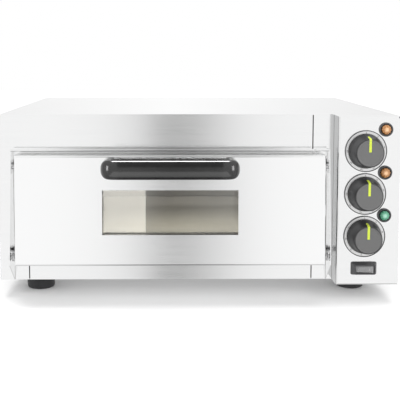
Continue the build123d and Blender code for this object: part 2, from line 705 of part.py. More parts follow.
def cable_gland():
    """Cable entry in the back: barrel, hexagon and dome nut on one bore, and the locknut inside."""
    back = body_depth
    axis_at = (gland_x, back, gland_z)
    body = hexagon(22.0, axis_at, (0, 1, 0), 5.0)
    body += turned([(0, 5), (10.5, 5), (10.5, 13), (8.4, gland_reach), (0, gland_reach)], axis_at, (0, 1, 0))
    body += rod(7.9, (gland_x, back - 11, gland_z), (0, 1, 0), 11)
    body -= rod(gland_bore, (gland_x, back - 11, gland_z), (0, 1, 0), 11 + gland_reach)
    nut_at = (gland_x, back - sheet - 4.5, gland_z)
    nut = hexagon(22.0, nut_at, (0, 1, 0), 4.5)
    return group(body, nut - hole(7.9 + running_clearance, nut_at, (0, 1, 0), 4.5))


# ---- door ----------------------------------------------------------------------------------------
def face_y(z, depth):
    """y of the surface that lies a given depth behind the door's leaning face, at a height above the floor."""
    lean = radians(door_lean)
    return -door_foot_depth + (z - door_bottom) * tan(lean) + depth / cos(lean)


def on_door_face(shape):
    """Puts a shape drawn with y = 0 on the door face and z = 0 at its lower edge onto the leaning face."""
    return Pos(0, -door_foot_depth, door_bottom) * Rot(-door_lean, 0, 0) * shape


def face_height(z):
    """Distance up the leaning face for a height above the floor."""
    return (z - door_bottom) / cos(radians(door_lean))


def door_outer_skin():
    """Folded front pan of the door: leaning face, folded window edge, and vent slots in the top edge."""
    back, top_y = -door_back_gap - sheet - seam, -door_head_depth
    bevel = sheet * (2 ** 0.5 - 1)
    profile = [(-door_foot_depth, door_bottom), (back - door_toe - bevel, door_bottom),
               (back, door_bottom + door_toe + bevel), (back, door_top), (top_y, door_top)]
    outer = slab_of(profile, (1, 0, 0), door_left, door_right)
    outer = fillet(outer.faces().sort_by(Axis.Y)[0].edges(), bend)
    low, high = door_bottom + sheet, door_top - sheet
    inner_profile = [(face_y(low, sheet), low), (2, low), (2, high), (face_y(high, sheet), high)]
    hollow = slab_of(inner_profile, (1, 0, 0), door_left + sheet, door_right - sheet)
    skin = outer - fillet(hollow.faces().sort_by(Axis.Y)[0].edges(), bend - sheet)
    z0, z1 = face_height(window_bottom), face_height(window_top)
    half = window_width / 2
    collar = block(door_middle - half - sheet, door_middle + half + sheet, 0.3, window_reveal,
                   z0 - sheet, z1 + sheet)
    opening = block(door_middle - half, door_middle + half, -5, window_reveal + 1, z0, z1)
    skin = skin + on_door_face(collar) - on_door_face(opening)
    for x in (door_middle + side * d for side in (-1, 1) for d in vent_slot_offsets):
        skin -= block(x - 3.5, x + 3.5, top_y + bend + 0.3, top_y + bend + 2.1, door_top - 3, door_top + 1)
    for x in handle_screw_places():
        skin -= on_door_face(rod(2.3, (x, -1, face_height(handle_z)), (0, 1, 0), 4))
    for x in (door_left, door_right - sheet):
        skin -= hole(pivot_radius + 0.5, (x, hinge_y, hinge_z), (1, 0, 0), sheet)
        skin -= hole(latch_pin_radius + 0.1, (x, latch_y, latch_z), (1, 0, 0), sheet)
    return skin


def door_inner_skin():
    """Back sheet of the door, folded to a bevel along its lower edge."""
    y1 = -door_back_gap
    y0, bevel = y1 - sheet, sheet * (2 ** 0.5 - 1)
    toe_y = y1 - door_toe + seam
    profile = [(y1, door_top), (y1, door_bottom + door_toe), (toe_y, door_bottom + seam),
               (toe_y - sheet - bevel, door_bottom + seam), (y0, door_bottom + door_toe + bevel),
               (y0, door_top)]
    plate = slab_of(profile, (1, 0, 0), door_left, door_right)
    m = back_window_margin
    return plate - block(door_middle - window_width / 2 - m, door_middle + window_width / 2 + m, -20, 5,
                         window_bottom - m, window_top + 2)


def glasses():
    """Toughened outer pane behind the window's folded edge, and the pane behind the inner sheet."""
    half = window_width / 2 + glass_lap
    z0, z1 = face_height(window_bottom) - glass_lap, face_height(window_top) + glass_lap
    outer = on_door_face(block(door_middle - half, door_middle + half, window_reveal,
                               window_reveal + glass_thickness, z0, z1))
    m = back_window_margin + 5
    back = -door_back_gap - sheet - 0.3
    inner = block(door_middle - window_width / 2 - m, door_middle + window_width / 2 + m,
                  back - glass_thickness, back, window_bottom - m, window_top + 8)
    return {"outer_glass": outer, "inner_glass": inner}


def window_frame():
    """Sheet tunnel between the two panes that keeps the wool back, with turned edges that clamp the panes."""
    half = window_width / 2 + glass_lap - 2
    front, back = -door_foot_depth, -door_back_gap - sheet - glass_thickness - 0.6
    z0, z1 = window_bottom - glass_lap + 2, window_top + glass_lap - 2
    tunnel = block(door_middle - half - liner, door_middle + half + liner, front, back, z0 - liner, z1 + liner)
    tunnel -= block(door_middle - half, door_middle + half, front - 1, back + 1, z0, z1)
    behind_glass = window_reveal + glass_thickness + 0.3
    in_front = block(door_middle - half - 9, door_middle + half + 9, -door_foot_depth, behind_glass,
                     0, door_top)
    return tunnel - on_door_face(in_front)


def door_insulation():
    """Wool packing round the window tunnel."""
    g = wool_gap
    front, back = -door_head_depth + window_reveal + glass_thickness + 4, -door_back_gap - sheet - g
    wool = block(door_left + sheet + 14, door_right - sheet - 14, front, back,
                 door_bottom + 14, door_top - sheet - g)
    half = window_width / 2 + back_window_margin + 5
    return wool - block(door_middle - half - g, door_middle + half + g, front - 1, back + 1,
                        window_bottom - back_window_margin - 5 - g, window_top + 8 + g)


def handle_screw_places():
    return [door_middle + side * (handle_length - handle_leg) / 2 for side in (-1, 1)]


def door_handle():
    """Moulded bow handle: the common solid of its plan, front and side outlines."""
    height, reach, mid = handle_height, handle_reach, face_height(handle_z)
    finger_gap = Pos(0, handle_grip / 2) * Rectangle(handle_length - 2 * handle_leg, reach - handle_grip)
    plan = Rectangle(handle_length, reach) - finger_gap
    outer_corners = [v for v in plan.vertices() if v.Y < -reach / 2 + 0.1]
    inner_corners = [v for v in plan.vertices() if abs(v.X) < handle_length / 2 - 1 and v.Y < 0]
    plan = fillet(outer_corners, 24.0)
    plan = fillet([v for v in plan.vertices() for c in inner_corners
                   if (v.center() - c.center()).length < 0.1], 12.0)
    bow = extrude(Pos(0, -reach / 2) * plan, height / 2, both=True)
    front = extrude(Plane.XZ * RectangleRounded(handle_length, height, height / 2 - 0.4), reach + 1)
    side_solid = extrude(Plane.YZ * Pos(-reach / 2 + 8, 0) * RectangleRounded(reach + 16, height, 9.0),
                         handle_length / 2, both=True)
    grip = bow & front & side_solid
    for x in handle_screw_places():
        grip -= rod(2.05, (x - door_middle, 0, 0), out, 14)
    return on_door_face(Pos(door_middle, 0, mid) * grip)


def handle_screws():
    made = []
    for x in handle_screw_places():
        z = face_height(handle_z)
        made.append(on_door_face(rod(4.0, (x, sheet + 2.6, z), out, 2.6) + rod(2.0, (x, sheet, z), out, 13)))
    return group(*made)


def door_hinge_blocks():
    """Steel blocks inside the door's lower corners, bored for the pivot bolts."""
    made = []
    for x0, x1 in ((door_left + sheet, door_left + 13), (door_right - 13, door_right - sheet)):
        bearing = block(x0, x1, hinge_y - 9, hinge_y + 8, door_bottom + sheet, door_bottom + 14)
        bore = rod(pivot_radius + running_clearance, (x0, hinge_y, hinge_z), (1, 0, 0), x1 - x0)
        made.append(bearing - bore)
    return group(*made)


def hinge_pins():
    """Pivot bolts: low head outside the cheek, shank through the cheek into the door's block."""
    made = []
    for x, way in ((cheek_left - sheet, 1), (cheek_right + sheet, -1)):
        head = rod(4.3, (x - 2.2 * way, hinge_y, hinge_z), (way, 0, 0), 2.2)
        made.append(head + rod(pivot_radius, (x, hinge_y, hinge_z), (way, 0, 0), sheet + cheek_gap + 12))
    return group(*made)


def hinge_springs():
    """Coils of the torsion springs round the pivot bolts, which help the door close."""
    made = []
    wire, radius, pitch, turns = 0.8, 5.4, 2.1, 3
    for x, way in ((cheek_left + 1.2, 1), (cheek_right - 1.2, -1)):
        coil = Helix(pitch=pitch, height=pitch * turns, radius=radius, center=(x, hinge_y, hinge_z),
                     direction=(way, 0, 0))
        start, heading = coil @ 0, coil % 0
        spring = sweep(Plane(origin=start, z_dir=heading) * Circle(wire), coil, is_frenet=True)
        made.append(spring)
    return group(*made)


def latch_pins():
    """Studs on the door's sides that drop into the spring clips."""
    made = []
    for x, way in ((door_left - 8, 1), (door_right + 8, -1)):
        stud = rod(latch_pin_radius, (x, latch_y, latch_z), (way, 0, 0), 8 + sheet)
        made.append(stud + rod(4.0, (x + way * (8 + sheet), latch_y, latch_z), (way, 0, 0), 2.5))
    return group(*made)


def latch_clips():
    """Spring clips riveted to the cheeks, open to the front."""
    gap = latch_pin_radius + 0.5
    made = []
    for wall, way in ((cheek_left, 1), (cheek_right, -1)):
        def piece(a, b, y0, y1, z0, z1):
            x0, x1 = sorted((wall + way * a, wall + way * b))
            return block(x0, x1, y0, y1, latch_z + z0, latch_z + z1)
        clip = piece(0, 0.6, latch_y - 1, latch_y + 12, -9, 9)
        clip += piece(0, 7.2, latch_y - 3, latch_y + 4.6, gap, gap + 0.6)
        clip += piece(0, 7.2, latch_y - 3, latch_y + 4.6, -gap - 0.6, -gap)
        clip += piece(0, 7.2, latch_y + 4, latch_y + 4.6, -gap, gap)
        made.append(clip)
    return group(*made)


# ---- the whole oven ------------------------------------------------------------------------------
def build():
    parts = {
        "base_pan": base_pan(),
        "left_side_panel": side_panel(0, 0),
        "right_side_panel": right_side_panel(),
        "top_cover": top_cover(),
        "rear_panel": rear_panel(),
        "front_frame": front_frame(),
        "right_front_post": right_front_post(),
        "lower_front_rail": lower_front_rail(),
        "mouth_frame": mouth_frame(),
        "control_panel": control_panel(),
        "partition_wall": partition_wall(),
        "feet": feet(),
        "foot_fasteners": foot_fasteners(),
        "casing_screws": casing_screws(),
        "stone_rails": stone_rails(),
        "baking_stone": baking_stone(),
        "upper_elements": elements(upper_tube_z),
        "lower_elements": elements(lower_tube_z),
        "element_ceramics": element_ceramics(),
        "element_supports": element_supports(),
        "thermostat_capillaries": thermostat_capillaries(),
        "chamber_insulation": chamber_insulation(),
        "dial_plates": dial_plates(),
        "pilot_bezels": pilot_bezels(),
        "amber_lenses": group(*[pilot_lens(z) for z in pilot_heights[:2]]),
        "green_lens": pilot_lens(pilot_heights[2]),
        "thermostats": group(*[thermostat(z) for z in dial_heights[:2]]),
        "switch_housing": switch_housing(),
        "switch_rocker": switch_rocker(),
        "terminal_block": terminal_block(),
        "wiring_loom": wiring_loom(),
        "cable_gland": cable_gland(),
        "door_outer_skin": door_outer_skin(),
        "door_inner_skin": door_inner_skin(),
        "window_frame": window_frame(),
        "door_insulation": door_insulation(),
        "door_handle": door_handle(),
        "handle_screws": handle_screws(),
        "door_hinge_blocks": door_hinge_blocks(),
        "hinge_pins": hinge_pins(),
        "hinge_springs": hinge_springs(),
        "latch_pins": latch_pins(),
        "latch_clips": latch_clips(),
        "timer_body": timer_body(dial_heights[2]),
    }
    for name, z in zip(("top_heat", "bottom_heat", "timer"), dial_heights):
        parts[name + "_knob"] = knob(z)
        parts[name + "_shaft"] = shaft(z)
    parts.update(liner_sheets())
    parts.update(lamp())
    parts.update(glasses())
    return parts


if __name__ == "__main__":
    os.makedirs("parts", exist_ok=True)
    for name, shape in build().items():
        export_step(to_row * shape, f"parts/{name}.step")
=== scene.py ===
"""Countertop deck oven: stainless casing, drop-down door with a window and a bow handle, control column.
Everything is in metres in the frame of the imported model: +X to the user's right, the door faces -Y, +Z up."""
import math

import bmesh
import bpy
import numpy as np
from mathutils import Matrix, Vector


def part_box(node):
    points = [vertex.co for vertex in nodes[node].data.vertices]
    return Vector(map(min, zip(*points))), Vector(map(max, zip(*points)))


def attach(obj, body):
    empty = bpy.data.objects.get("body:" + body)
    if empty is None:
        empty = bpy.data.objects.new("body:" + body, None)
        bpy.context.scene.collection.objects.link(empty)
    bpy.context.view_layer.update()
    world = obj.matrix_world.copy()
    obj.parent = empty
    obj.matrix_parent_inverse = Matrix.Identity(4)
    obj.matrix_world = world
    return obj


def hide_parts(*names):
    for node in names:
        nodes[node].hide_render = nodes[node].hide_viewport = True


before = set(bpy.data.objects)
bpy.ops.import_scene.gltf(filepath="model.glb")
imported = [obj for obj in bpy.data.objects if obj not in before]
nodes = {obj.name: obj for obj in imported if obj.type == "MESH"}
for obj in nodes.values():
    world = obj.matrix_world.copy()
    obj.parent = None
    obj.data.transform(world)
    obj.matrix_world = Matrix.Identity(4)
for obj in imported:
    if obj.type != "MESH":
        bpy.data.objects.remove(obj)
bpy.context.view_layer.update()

# ---- camera --------------------------------------------------------------------------------------
# A long lens a little above the lid and left of the middle, tipped slightly down at the door.
eye = bpy.data.objects.new("camera", bpy.data.cameras.new("camera"))
bpy.context.scene.collection.objects.link(eye)
bpy.context.scene.camera = eye
eye.location = (-0.0335, -1.2802, 0.3554)
eye.rotation_euler = (math.radians(90 - 4.95), 0, math.radians(-0.48))
eye.data.lens = 69.96
eye.data.sensor_width = 36.0
eye.data.shift_x = 0.05
eye.data.shift_y = -0.2
eye.data.clip_start = 0.05


# ---- studio --------------------------------------------------------------------------------------
# White surroundings with a dim gap where the operator stands, soft lamps above and at both sides,
# cards that only the door's glass or the black handle mirrors, and a pale floor that fades to white.
class Shade:
    """A socket in a node tree. Arithmetic on it adds Math nodes, and node() adds any other kind."""

    def __init__(self, tree, socket=None):
        self.tree, self.socket = tree, socket

    def node(self, kind, settings, values, output=0):
        """Adds a node: settings, with a ramp's stops as (place, colour) pairs, then values and links."""
        made = self.tree.nodes.new("ShaderNode" + kind)
        for name, value in settings.items():
            if name != "stops":
                setattr(made, name, value)
                continue
            stops = made.color_ramp.elements
            while len(stops) < len(value):
                stops.new(0.5)
            for stop, (place, colour) in zip(stops, value):
                stop.position, stop.color = place, colour
        for name, value in values.items():
            if isinstance(value, Shade):
                self.tree.links.new(value.socket, made.inputs[name])
            else:
                made.inputs[name].default_value = value
        return Shade(self.tree, made.outputs[output]) if made.outputs else None

    def math(self, operation, a, b=0.0):
        return self.node("Math", {"operation": operation}, {0: a, 1: b})

    def __add__(self, other):
        return self.math("ADD", self, other)

    def __sub__(self, other):
        return self.math("SUBTRACT", self, other)

    def __rsub__(self, other):
        return self.math("SUBTRACT", other, self)

    def __mul__(self, other):
        return self.math("MULTIPLY", self, other)

    __radd__ = __add__
    __rmul__ = __mul__

    def mixed(self, a, b):
        """Colour a where this socket is 0 and b where it is 1."""
        return self.node("Mix", {"data_type": "RGBA"}, {0: self, 6: a, 7: b}, 2)

    def scaled(self, x, y, z):
        """The vector with each axis multiplied by its own factor."""
        return self.node("VectorMath", {"operation": "MULTIPLY"}, {0: self, 1: (x, y, z)})

    def noise(self, scale, detail=2.0):
        """Smooth noise from 0 to 1 at this vector."""
        return self.node("TexNoise", {}, {"Vector": self, "Scale": scale, "Detail": detail})

    def relief(self, distance):
        """The normal of a surface raised by this height from 0 to 1 times a distance in metres."""
        return self.node("Bump", {}, {"Strength": 1.0, "Distance": distance, "Height": self})


world = bpy.data.worlds.new("studio")
bpy.context.scene.world = world
world.use_nodes = True
world.node_tree.nodes.clear()
sky = Shade(world.node_tree)
way = sky.node("TexCoord", {}, {}, "Generated")
sideways, ahead, upward = [sky.node("SeparateXYZ", {}, {0: way}, i) for i in range(3)]
off_middle = sky.math("ABSOLUTE", sideways)
behind = sky.math("GREATER_THAN", ahead, 0.0)
# The operator: a gap that darkens quickly on its left and slowly on its right.
across = sky.node("MapRange", {}, {0: sideways, 1: -0.15, 2: 0.15})
gap_tones = ((0.0, 1.0), (0.17, 0.98), (0.37, 0.88), (0.44, 0.42),
             (0.49, 0.3), (0.6, 0.52), (0.77, 0.92), (0.95, 1.0))
gap_stops = [(place, (grey, grey, grey, 1)) for place, grey in gap_tones]
gap = sky.node("ValToRGB", {"stops": gap_stops}, {0: across})
# The wall behind the oven, which the lid mirrors, and the table, which is darker below the middle.
far_wall = sky.math("MAXIMUM", 1.02 - 0.5 * off_middle, 0.84)
beside = sky.node("MapRange", {}, {0: off_middle, 1: 0.06, 2: 0.13, 3: 0.3, 4: 0.7})
table = sky.node("MapRange", {}, {0: upward, 1: -0.75, 2: -0.36, 3: beside, 4: 1.0})
# The dim upper part of the room behind the operator.
soft = {"interpolation_type": "SMOOTHSTEP"}
dim_from = sky.node("MapRange", soft, {0: upward, 1: 0.04, 2: 0.3})
dim_to = sky.node("MapRange", soft, {0: upward, 1: 0.75, 2: 0.95, 3: 1.0, 4: 0.0})
dim_beside = sky.node("MapRange", soft, {0: off_middle, 1: 0.1, 2: 0.17, 3: 1.0, 4: 0.0})
in_front = 1.02 * (gap * table * (1.0 - 0.8 * dim_from * dim_to * dim_beside))
seen = sky.node("Mix", {}, {0: behind, 2: in_front, 3: far_wall * table})
mirrored = sky.node("Background", {}, {"Color": (1, 1, 1, 1), "Strength": seen})
plain = sky.node("Background", {}, {"Color": (1, 1, 1, 1), "Strength": 0.6})
backdrop = sky.node("Background", {}, {"Color": (1, 1, 1, 1), "Strength": 1.0})
diffuse, camera = [sky.node("LightPath", {}, {}, ray) for ray in ("Is Diffuse Ray", "Is Camera Ray")]
shining = sky.node("MixShader", {}, {0: diffuse, 1: mirrored, 2: plain})
shining = sky.node("MixShader", {}, {0: camera, 1: shining, 2: backdrop})
sky.node("OutputWorld", {}, {"Surface": shining})
bpy.context.scene.view_settings.view_transform = "Standard"


def lamp(name, place, turn, size, watts, colour=(1, 1, 1), mirrored=False):
    """A rectangular soft lamp that shines along its own -Z, turned by Euler angles in degrees."""
    source = bpy.data.lights.new(name, "AREA")
    source.shape, source.energy, source.color = "RECTANGLE", watts, colour
    source.size, source.size_y = size
    holder = bpy.data.objects.new(name, source)
    holder.location, holder.rotation_euler = place, [math.radians(a) for a in turn]
    holder.visible_camera, holder.visible_glossy = False, mirrored
    bpy.context.scene.collection.objects.link(holder)
    return holder


lamp("overhead", (0.0, -0.1, 1.9), (-4, 0, 0), (2.0, 1.6), 34)
for side, name in ((-1, "left_front"), (1, "right_front")):
    lamp(name, (1.2 * side, -1.7, 1.1), (66, 0, 33 * side), (1.2, 1.2), 18)
window_card = lamp("window_card", (-0.302, -0.9, 0.13), (90, 0, 0), (0.41, 0.3), 1.4, (1.0, 0.97, 0.88), True)
handle_cards = [
    lamp("strip_over_handle", (0.0, -0.25, 1.6), (0, 0, 0), (1.2, 0.5), 70, mirrored=True),
    lamp("low_card", (-0.038, -0.62, 0.06), (164, 0, 0), (0.6, 0.4), 0.75, mirrored=True),
    lamp("left_card", (-0.888, -0.75, 0.27), (90, 0, -58), (0.22, 0.3), 1.6, mirrored=True),
    lamp("right_card", (0.812, -0.75, 0.27), (90, 0, 58), (0.22, 0.3), 1.6, mirrored=True),
]
glass_only = bpy.data.collections.new("glass_only")
glass_only.objects.link(nodes["outer_glass"])
window_card.light_linking.receiver_collection = glass_only
handle_only = bpy.data.collections.new("handle_only")
for card in handle_cards:
    card.light_linking.receiver_collection = handle_only


def finish(name, look=None, **fixed):
    """A material of one Principled shader: fixed sockets by name, and look(tree, place) for what varies."""
    made = bpy.data.materials.new(name)
    made.use_nodes = True
    made.node_tree.nodes.clear()
    tree = Shade(made.node_tree)
    sockets = {socket.replace("_", " "): value for socket, value in fixed.items()}
    if look:
        sockets.update(look(tree, tree.node("TexCoord", {}, {}, "Object")))
    tree.node("OutputMaterial", {}, {"Surface": tree.node("BsdfPrincipled", {}, sockets)})
    return made


def painted_floor(tree, place):
    """Matt paint that glows more with distance, so that the far floor is as white as the background."""
    distance = tree.node("VectorMath", {"operation": "LENGTH"}, {0: place}, 1)
    far = tree.node("MapRange", {"interpolation_type": "SMOOTHSTEP"}, {0: distance, 1: 0.45, 2: 1.5})
    return {"Roughness": 0.75 + 0.2 * place.noise(9.0),
            "Emission Color": far.mixed((0, 0, 0, 1), (0.6, 0.6, 0.6, 1))}


ground = bpy.data.meshes.new("floor")
ground.from_pydata([(-4, -2.5, 0), (4, -2.5, 0), (4, 6, 0), (-4, 6, 0)], [], [(0, 1, 2, 3)])
ground.materials.append(finish("pale_floor", painted_floor, Base_Color=(0.95, 0.95, 0.95, 1),
                               Emission_Strength=1.0))
floor = bpy.data.objects.new("floor", ground)
floor.visible_glossy = False
bpy.context.scene.collection.objects.link(floor)


# ---- casing sheets -------------------------------------------------------------------------------
# Folded 1 mm stainless sheet with a fine ground finish. The grain runs along each blank's length:
# across the front, the lid and the back, and front to back on the side panels.
def brushed(name, along, dark, light, roughness, relief=1e-5, side_shade=1):
    """Ground sheet: scratches drawn out along one axis (0, 1 or 2) over broad, soft differences in polish.
    Where the shade factor is below 1, a fold that faces -X is painted darker by it: painted shade for the
    shadow that falls on that side."""
    def look(tree, place):
        stretch = [1.0, 1.0, 1.0]
        stretch[along] = 0.03
        drawn = place.scaled(*stretch)
        fine = drawn.noise(2400.0, 3.0)
        streak = drawn.noise(260.0, 2.0)
        smear = place.noise(13.0, 3.0)
        tone = (0.3 * streak + 0.4 * fine + 0.3 * smear).mixed(dark, light)
        # Painted shade: a face turned towards -X is painted darker, standing in for the shadow that falls on
        # it.
        if side_shade < 1:
            facing = tree.node("SeparateXYZ", {}, {0: tree.node("TexCoord", {}, {}, "Normal")}, 0)
            shaded_side = tree.node("MapRange", {}, {0: facing, 1: -0.4, 2: -0.95})
            tone = shaded_side.mixed(tone, [side_shade * c for c in dark[:3]] + [1])
        return {
            "Base Color": tone,
            "Roughness": roughness - 0.06 + 0.05 * fine + 0.03 * streak + 0.05 * smear,
            "Normal": fine.relief(relief),
        }
    return finish(name, look, Metallic=1.0)


def dress(material, *names):
    """Gives CAD nodes that keep their own shape a material."""
    for name in names:
        nodes[name].data.materials.clear()
        nodes[name].data.materials.append(material)


satin = (0.83, 0.835, 0.84, 1), (0.94, 0.94, 0.935, 1)
# A lighter copy of the same satin for the door: painted light, where the door looks brighter than the casing.
lit_satin = (0.9, 0.905, 0.91, 1), (0.99, 0.99, 0.985, 1)
dress(brushed("satin_steel_across", 0, *satin, 0.12), "top_cover", "rear_panel", "front_frame",
      "right_front_post", "lower_front_rail", "mouth_frame", "base_pan")
dress(brushed("satin_steel_deep", 1, *satin, 0.16), "left_side_panel", "right_side_panel")
# The control column's side wall that faces -X carries painted shade.
dress(brushed("satin_steel_column_painted_shade", 0, *satin, 0.16, side_shade=0.5), "control_panel")
# The door's steel is painted lighter than the casing's: painted light.
dress(brushed("satin_steel_door_painted_light", 0, *lit_satin, 0.14), "door_outer_skin", "door_inner_skin")


# ---- chamber -------------------------------------------------------------------------------------
# Plain stainless liner, dulled by the heat, with strips that hold the tubular elements and a
# pressed cordierite stone on two angles. The oven's lamp is stood in for by two soft lights.
def grained(name, dark, light, grain, smooth, rough, relief, **fixed):
    """Cast, moulded or coated matter: two tones in clouds and in grains of a size in metres, with relief."""
    def look(tree, place):
        cloud, fine = place.noise(0.12 / grain, 4.0), place.noise(1.0 / grain, 3.0)
        tone = 0.6 * cloud + 0.4 * fine
        return {"Base Color": tone.mixed(dark, light), "Roughness": smooth + (rough - smooth) * tone,
                "Normal": fine.relief(relief)}
    return finish(name, look, **fixed)


dulled_steel = brushed("dulled_liner_steel", 1, (0.6, 0.585, 0.58, 1), (0.76, 0.745, 0.735, 1), 0.45)
dress(dulled_steel, "chamber_ceiling", "chamber_floor", "chamber_left_wall", "chamber_right_wall",
      "chamber_back_wall", "stone_rails", "element_supports", "lamp_holder")
dress(grained("cordierite", (0.52, 0.5, 0.43, 1), (0.74, 0.72, 0.65, 1), 0.0011, 0.8, 1.0, 0.0002),
      "baking_stone")
dress(grained("aluminised_steel", (0.6, 0.59, 0.57, 1), (0.78, 0.77, 0.74, 1), 0.004, 0.45, 0.6, 1e-5,
              Metallic=0.3), "window_frame")
dress(grained("oxidised_sheath", (0.07, 0.06, 0.055, 1), (0.16, 0.13, 0.115, 1), 0.0016, 0.42, 0.7, 3e-5,
              Metallic=0.7), "upper_elements", "lower_elements")
dress(grained("steatite", (0.72, 0.68, 0.6, 1), (0.86, 0.83, 0.76, 1), 0.0008, 0.55, 0.8, 3e-5),
      "element_ceramics")
galvanised = grained("galvanised_steel", (0.42, 0.44, 0.47, 1), (0.7, 0.72, 0.74, 1), 0.003, 0.28, 0.5, 2e-5,
                     Metallic=1.0)
dress(galvanised, "partition_wall", "thermostat_capillaries", "thermostats", "timer_body", "foot_fasteners",
      "handle_screws", "door_hinge_blocks", "top_heat_shaft", "bottom_heat_shaft", "timer_shaft")
dress(brushed("bright_steel", 0, (0.62, 0.62, 0.63, 1), (0.86, 0.86, 0.86, 1), 0.2),
      "latch_pins", "latch_clips", "hinge_pins", "hinge_springs")
dress(grained("terminal_ivory", (0.62, 0.58, 0.46, 1), (0.78, 0.74, 0.62, 1), 0.0007, 0.4, 0.6, 1e-5),
      "terminal_block")
lamp("chamber_light", (0.02, -0.06, 0.192), (12, 0, 0), (0.3, 0.1), 0.2, (1.0, 0.97, 0.91))
lamp("chamber_back_light", (0.02, 0.09, 0.19), (100, 0, 0), (0.36, 0.04), 0.26, (1.0, 0.97, 0.97))


# ---- feet ----------------------------------------------------------------------------------------
# Four moulded rubber feet, tapered to a rolled foot ring, with a recess below for the fixing screw
# and shallow grip ribs round the waist.
def surface(name, grids, material, sharp=35):
    """A mesh over grids of points (rows, columns, xyz), each closed where its rows, columns or ends fall
    together: neighbours are joined by quads and doubles are merged. Its UV map runs over each grid."""
    points, quads, lay, start = [], [], [], 0
    for grid in grids:
        rows, columns = grid.shape[:2]
        index = np.arange(start, start + rows * columns).reshape(rows, columns)
        corners = index[:-1, :-1], index[1:, :-1], index[1:, 1:], index[:-1, 1:]
        quads.append(np.stack(corners, -1).reshape(-1, 4))
        v, u = np.meshgrid(np.linspace(0, 1, rows), np.linspace(0, 1, columns), indexing="ij")
        lay.append(np.stack([u, v], -1).reshape(-1, 2))
        points.append(grid.reshape(-1, 3))
        start += rows * columns
    quads = np.concatenate(quads)
    mesh = bpy.data.meshes.new(name)
    mesh.from_pydata(np.concatenate(points).tolist(), [], quads.tolist())
    mesh.uv_layers.new(name="lay").data.foreach_set("uv", np.concatenate(lay)[quads.ravel()].ravel())
    work = bmesh.new()
    work.from_mesh(mesh)
    bmesh.ops.remove_doubles(work, verts=work.verts, dist=1e-6)
    bmesh.ops.recalc_face_normals(work, faces=work.faces)
    work.to_mesh(mesh)
    work.free()
    mesh.shade_smooth()
    mesh.set_sharp_from_angle(angle=math.radians(sharp))
    mesh.materials.append(material)
    piece = bpy.data.objects.new(name, mesh)
    bpy.context.scene.collection.objects.link(piece)
    return piece


def fit(piece, body, slot, *stands_for):
    """The piece rides on a body and stands for CAD nodes. Its slot is not used."""
    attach(piece, body)
    if stands_for:
        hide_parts(*stands_for)
    return piece


def rounded(corners, radius, steps=5):
    """A profile with each inner corner eased by a parabola, which ends at most radius from the corner."""
    corners = np.array(corners, float)
    before, after = corners[:-2] - corners[1:-1], corners[2:] - corners[1:-1]
    reach = [np.minimum(radius / np.linalg.norm(side, axis=1), 0.45)[:, None] * side
             for side in (before, after)]
    t = np.linspace(0, 1, steps)[None, :, None]
    middle = corners[1:-1, None]
    bow = middle + (1 - t) ** 2 * reach[0][:, None] + t ** 2 * reach[1][:, None]
    return np.concatenate([corners[:1], bow.reshape(-1, 2), corners[-1:]])


def turned(profile, centre, axis, count=64, swell=None):
    """A form turned about an axis through centre: rows of the profile are (radius, height along the axis),
    and columns go once round. swell(radius, height, angle) gives the radius where the form isn't round."""
    radius, height = np.array(profile, float).T[:, :, None]
    angle = np.linspace(0, 2 * np.pi, count + 1)[None]
    radius = radius + 0 * angle if swell is None else swell(radius, height + 0 * angle, angle)
    axis = np.array(axis, float)
    across = np.array([0, 0, 1.0]) if abs(axis[2]) < 0.5 else np.array([1.0, 0, 0])
    side = np.cross(axis, across)
    ring = across * np.cos(angle)[..., None] + side * np.sin(angle)[..., None]
    points = np.array(centre, float) + ring * radius[..., None] + axis * (height + 0 * angle)[..., None]
    points[:, -1] = points[:, 0]
    return points


low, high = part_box("feet")
foot_radius = 0.023
foot_centres = [(x, y) for x in (low[0] + foot_radius, high[0] - foot_radius)
                for y in (low[1] + foot_radius, high[1] - foot_radius)]
foot_profile = rounded([(0.0027, 0.012), (0.007, 0.012), (0.007, 0.0), (0.0188, 0.0), (0.0202, 0.0014),
                        (0.0206, 0.0042), (0.0204, 0.0052), (0.0218, 0.022), (foot_radius, 0.0235),
                        (foot_radius, 0.028), (0.0027, 0.028), (0.0027, 0.012)], 0.0012)


def waist_ribs(radius, height, angle):
    """Round, with 36 shallow ribs between the foot ring and the collar."""
    waist = np.clip(1 - np.abs(height - 0.0135) / 0.0085, 0, 1) * (radius > 0.015)
    return radius + 0.00025 * np.sqrt(waist) * (np.cos(36 * angle) - 1)


rubber = grained("moulded_rubber", (0.008, 0.008, 0.009, 1), (0.03, 0.03, 0.032, 1), 0.0006, 0.5, 0.75, 3e-5)
feet = surface("rubber_feet", [turned(foot_profile, (x, y, 0), (0, 0, 1), 144, waist_ribs)
                               for x, y in foot_centres], rubber)
fit(feet, "casing", "rubber_feet", "feet")


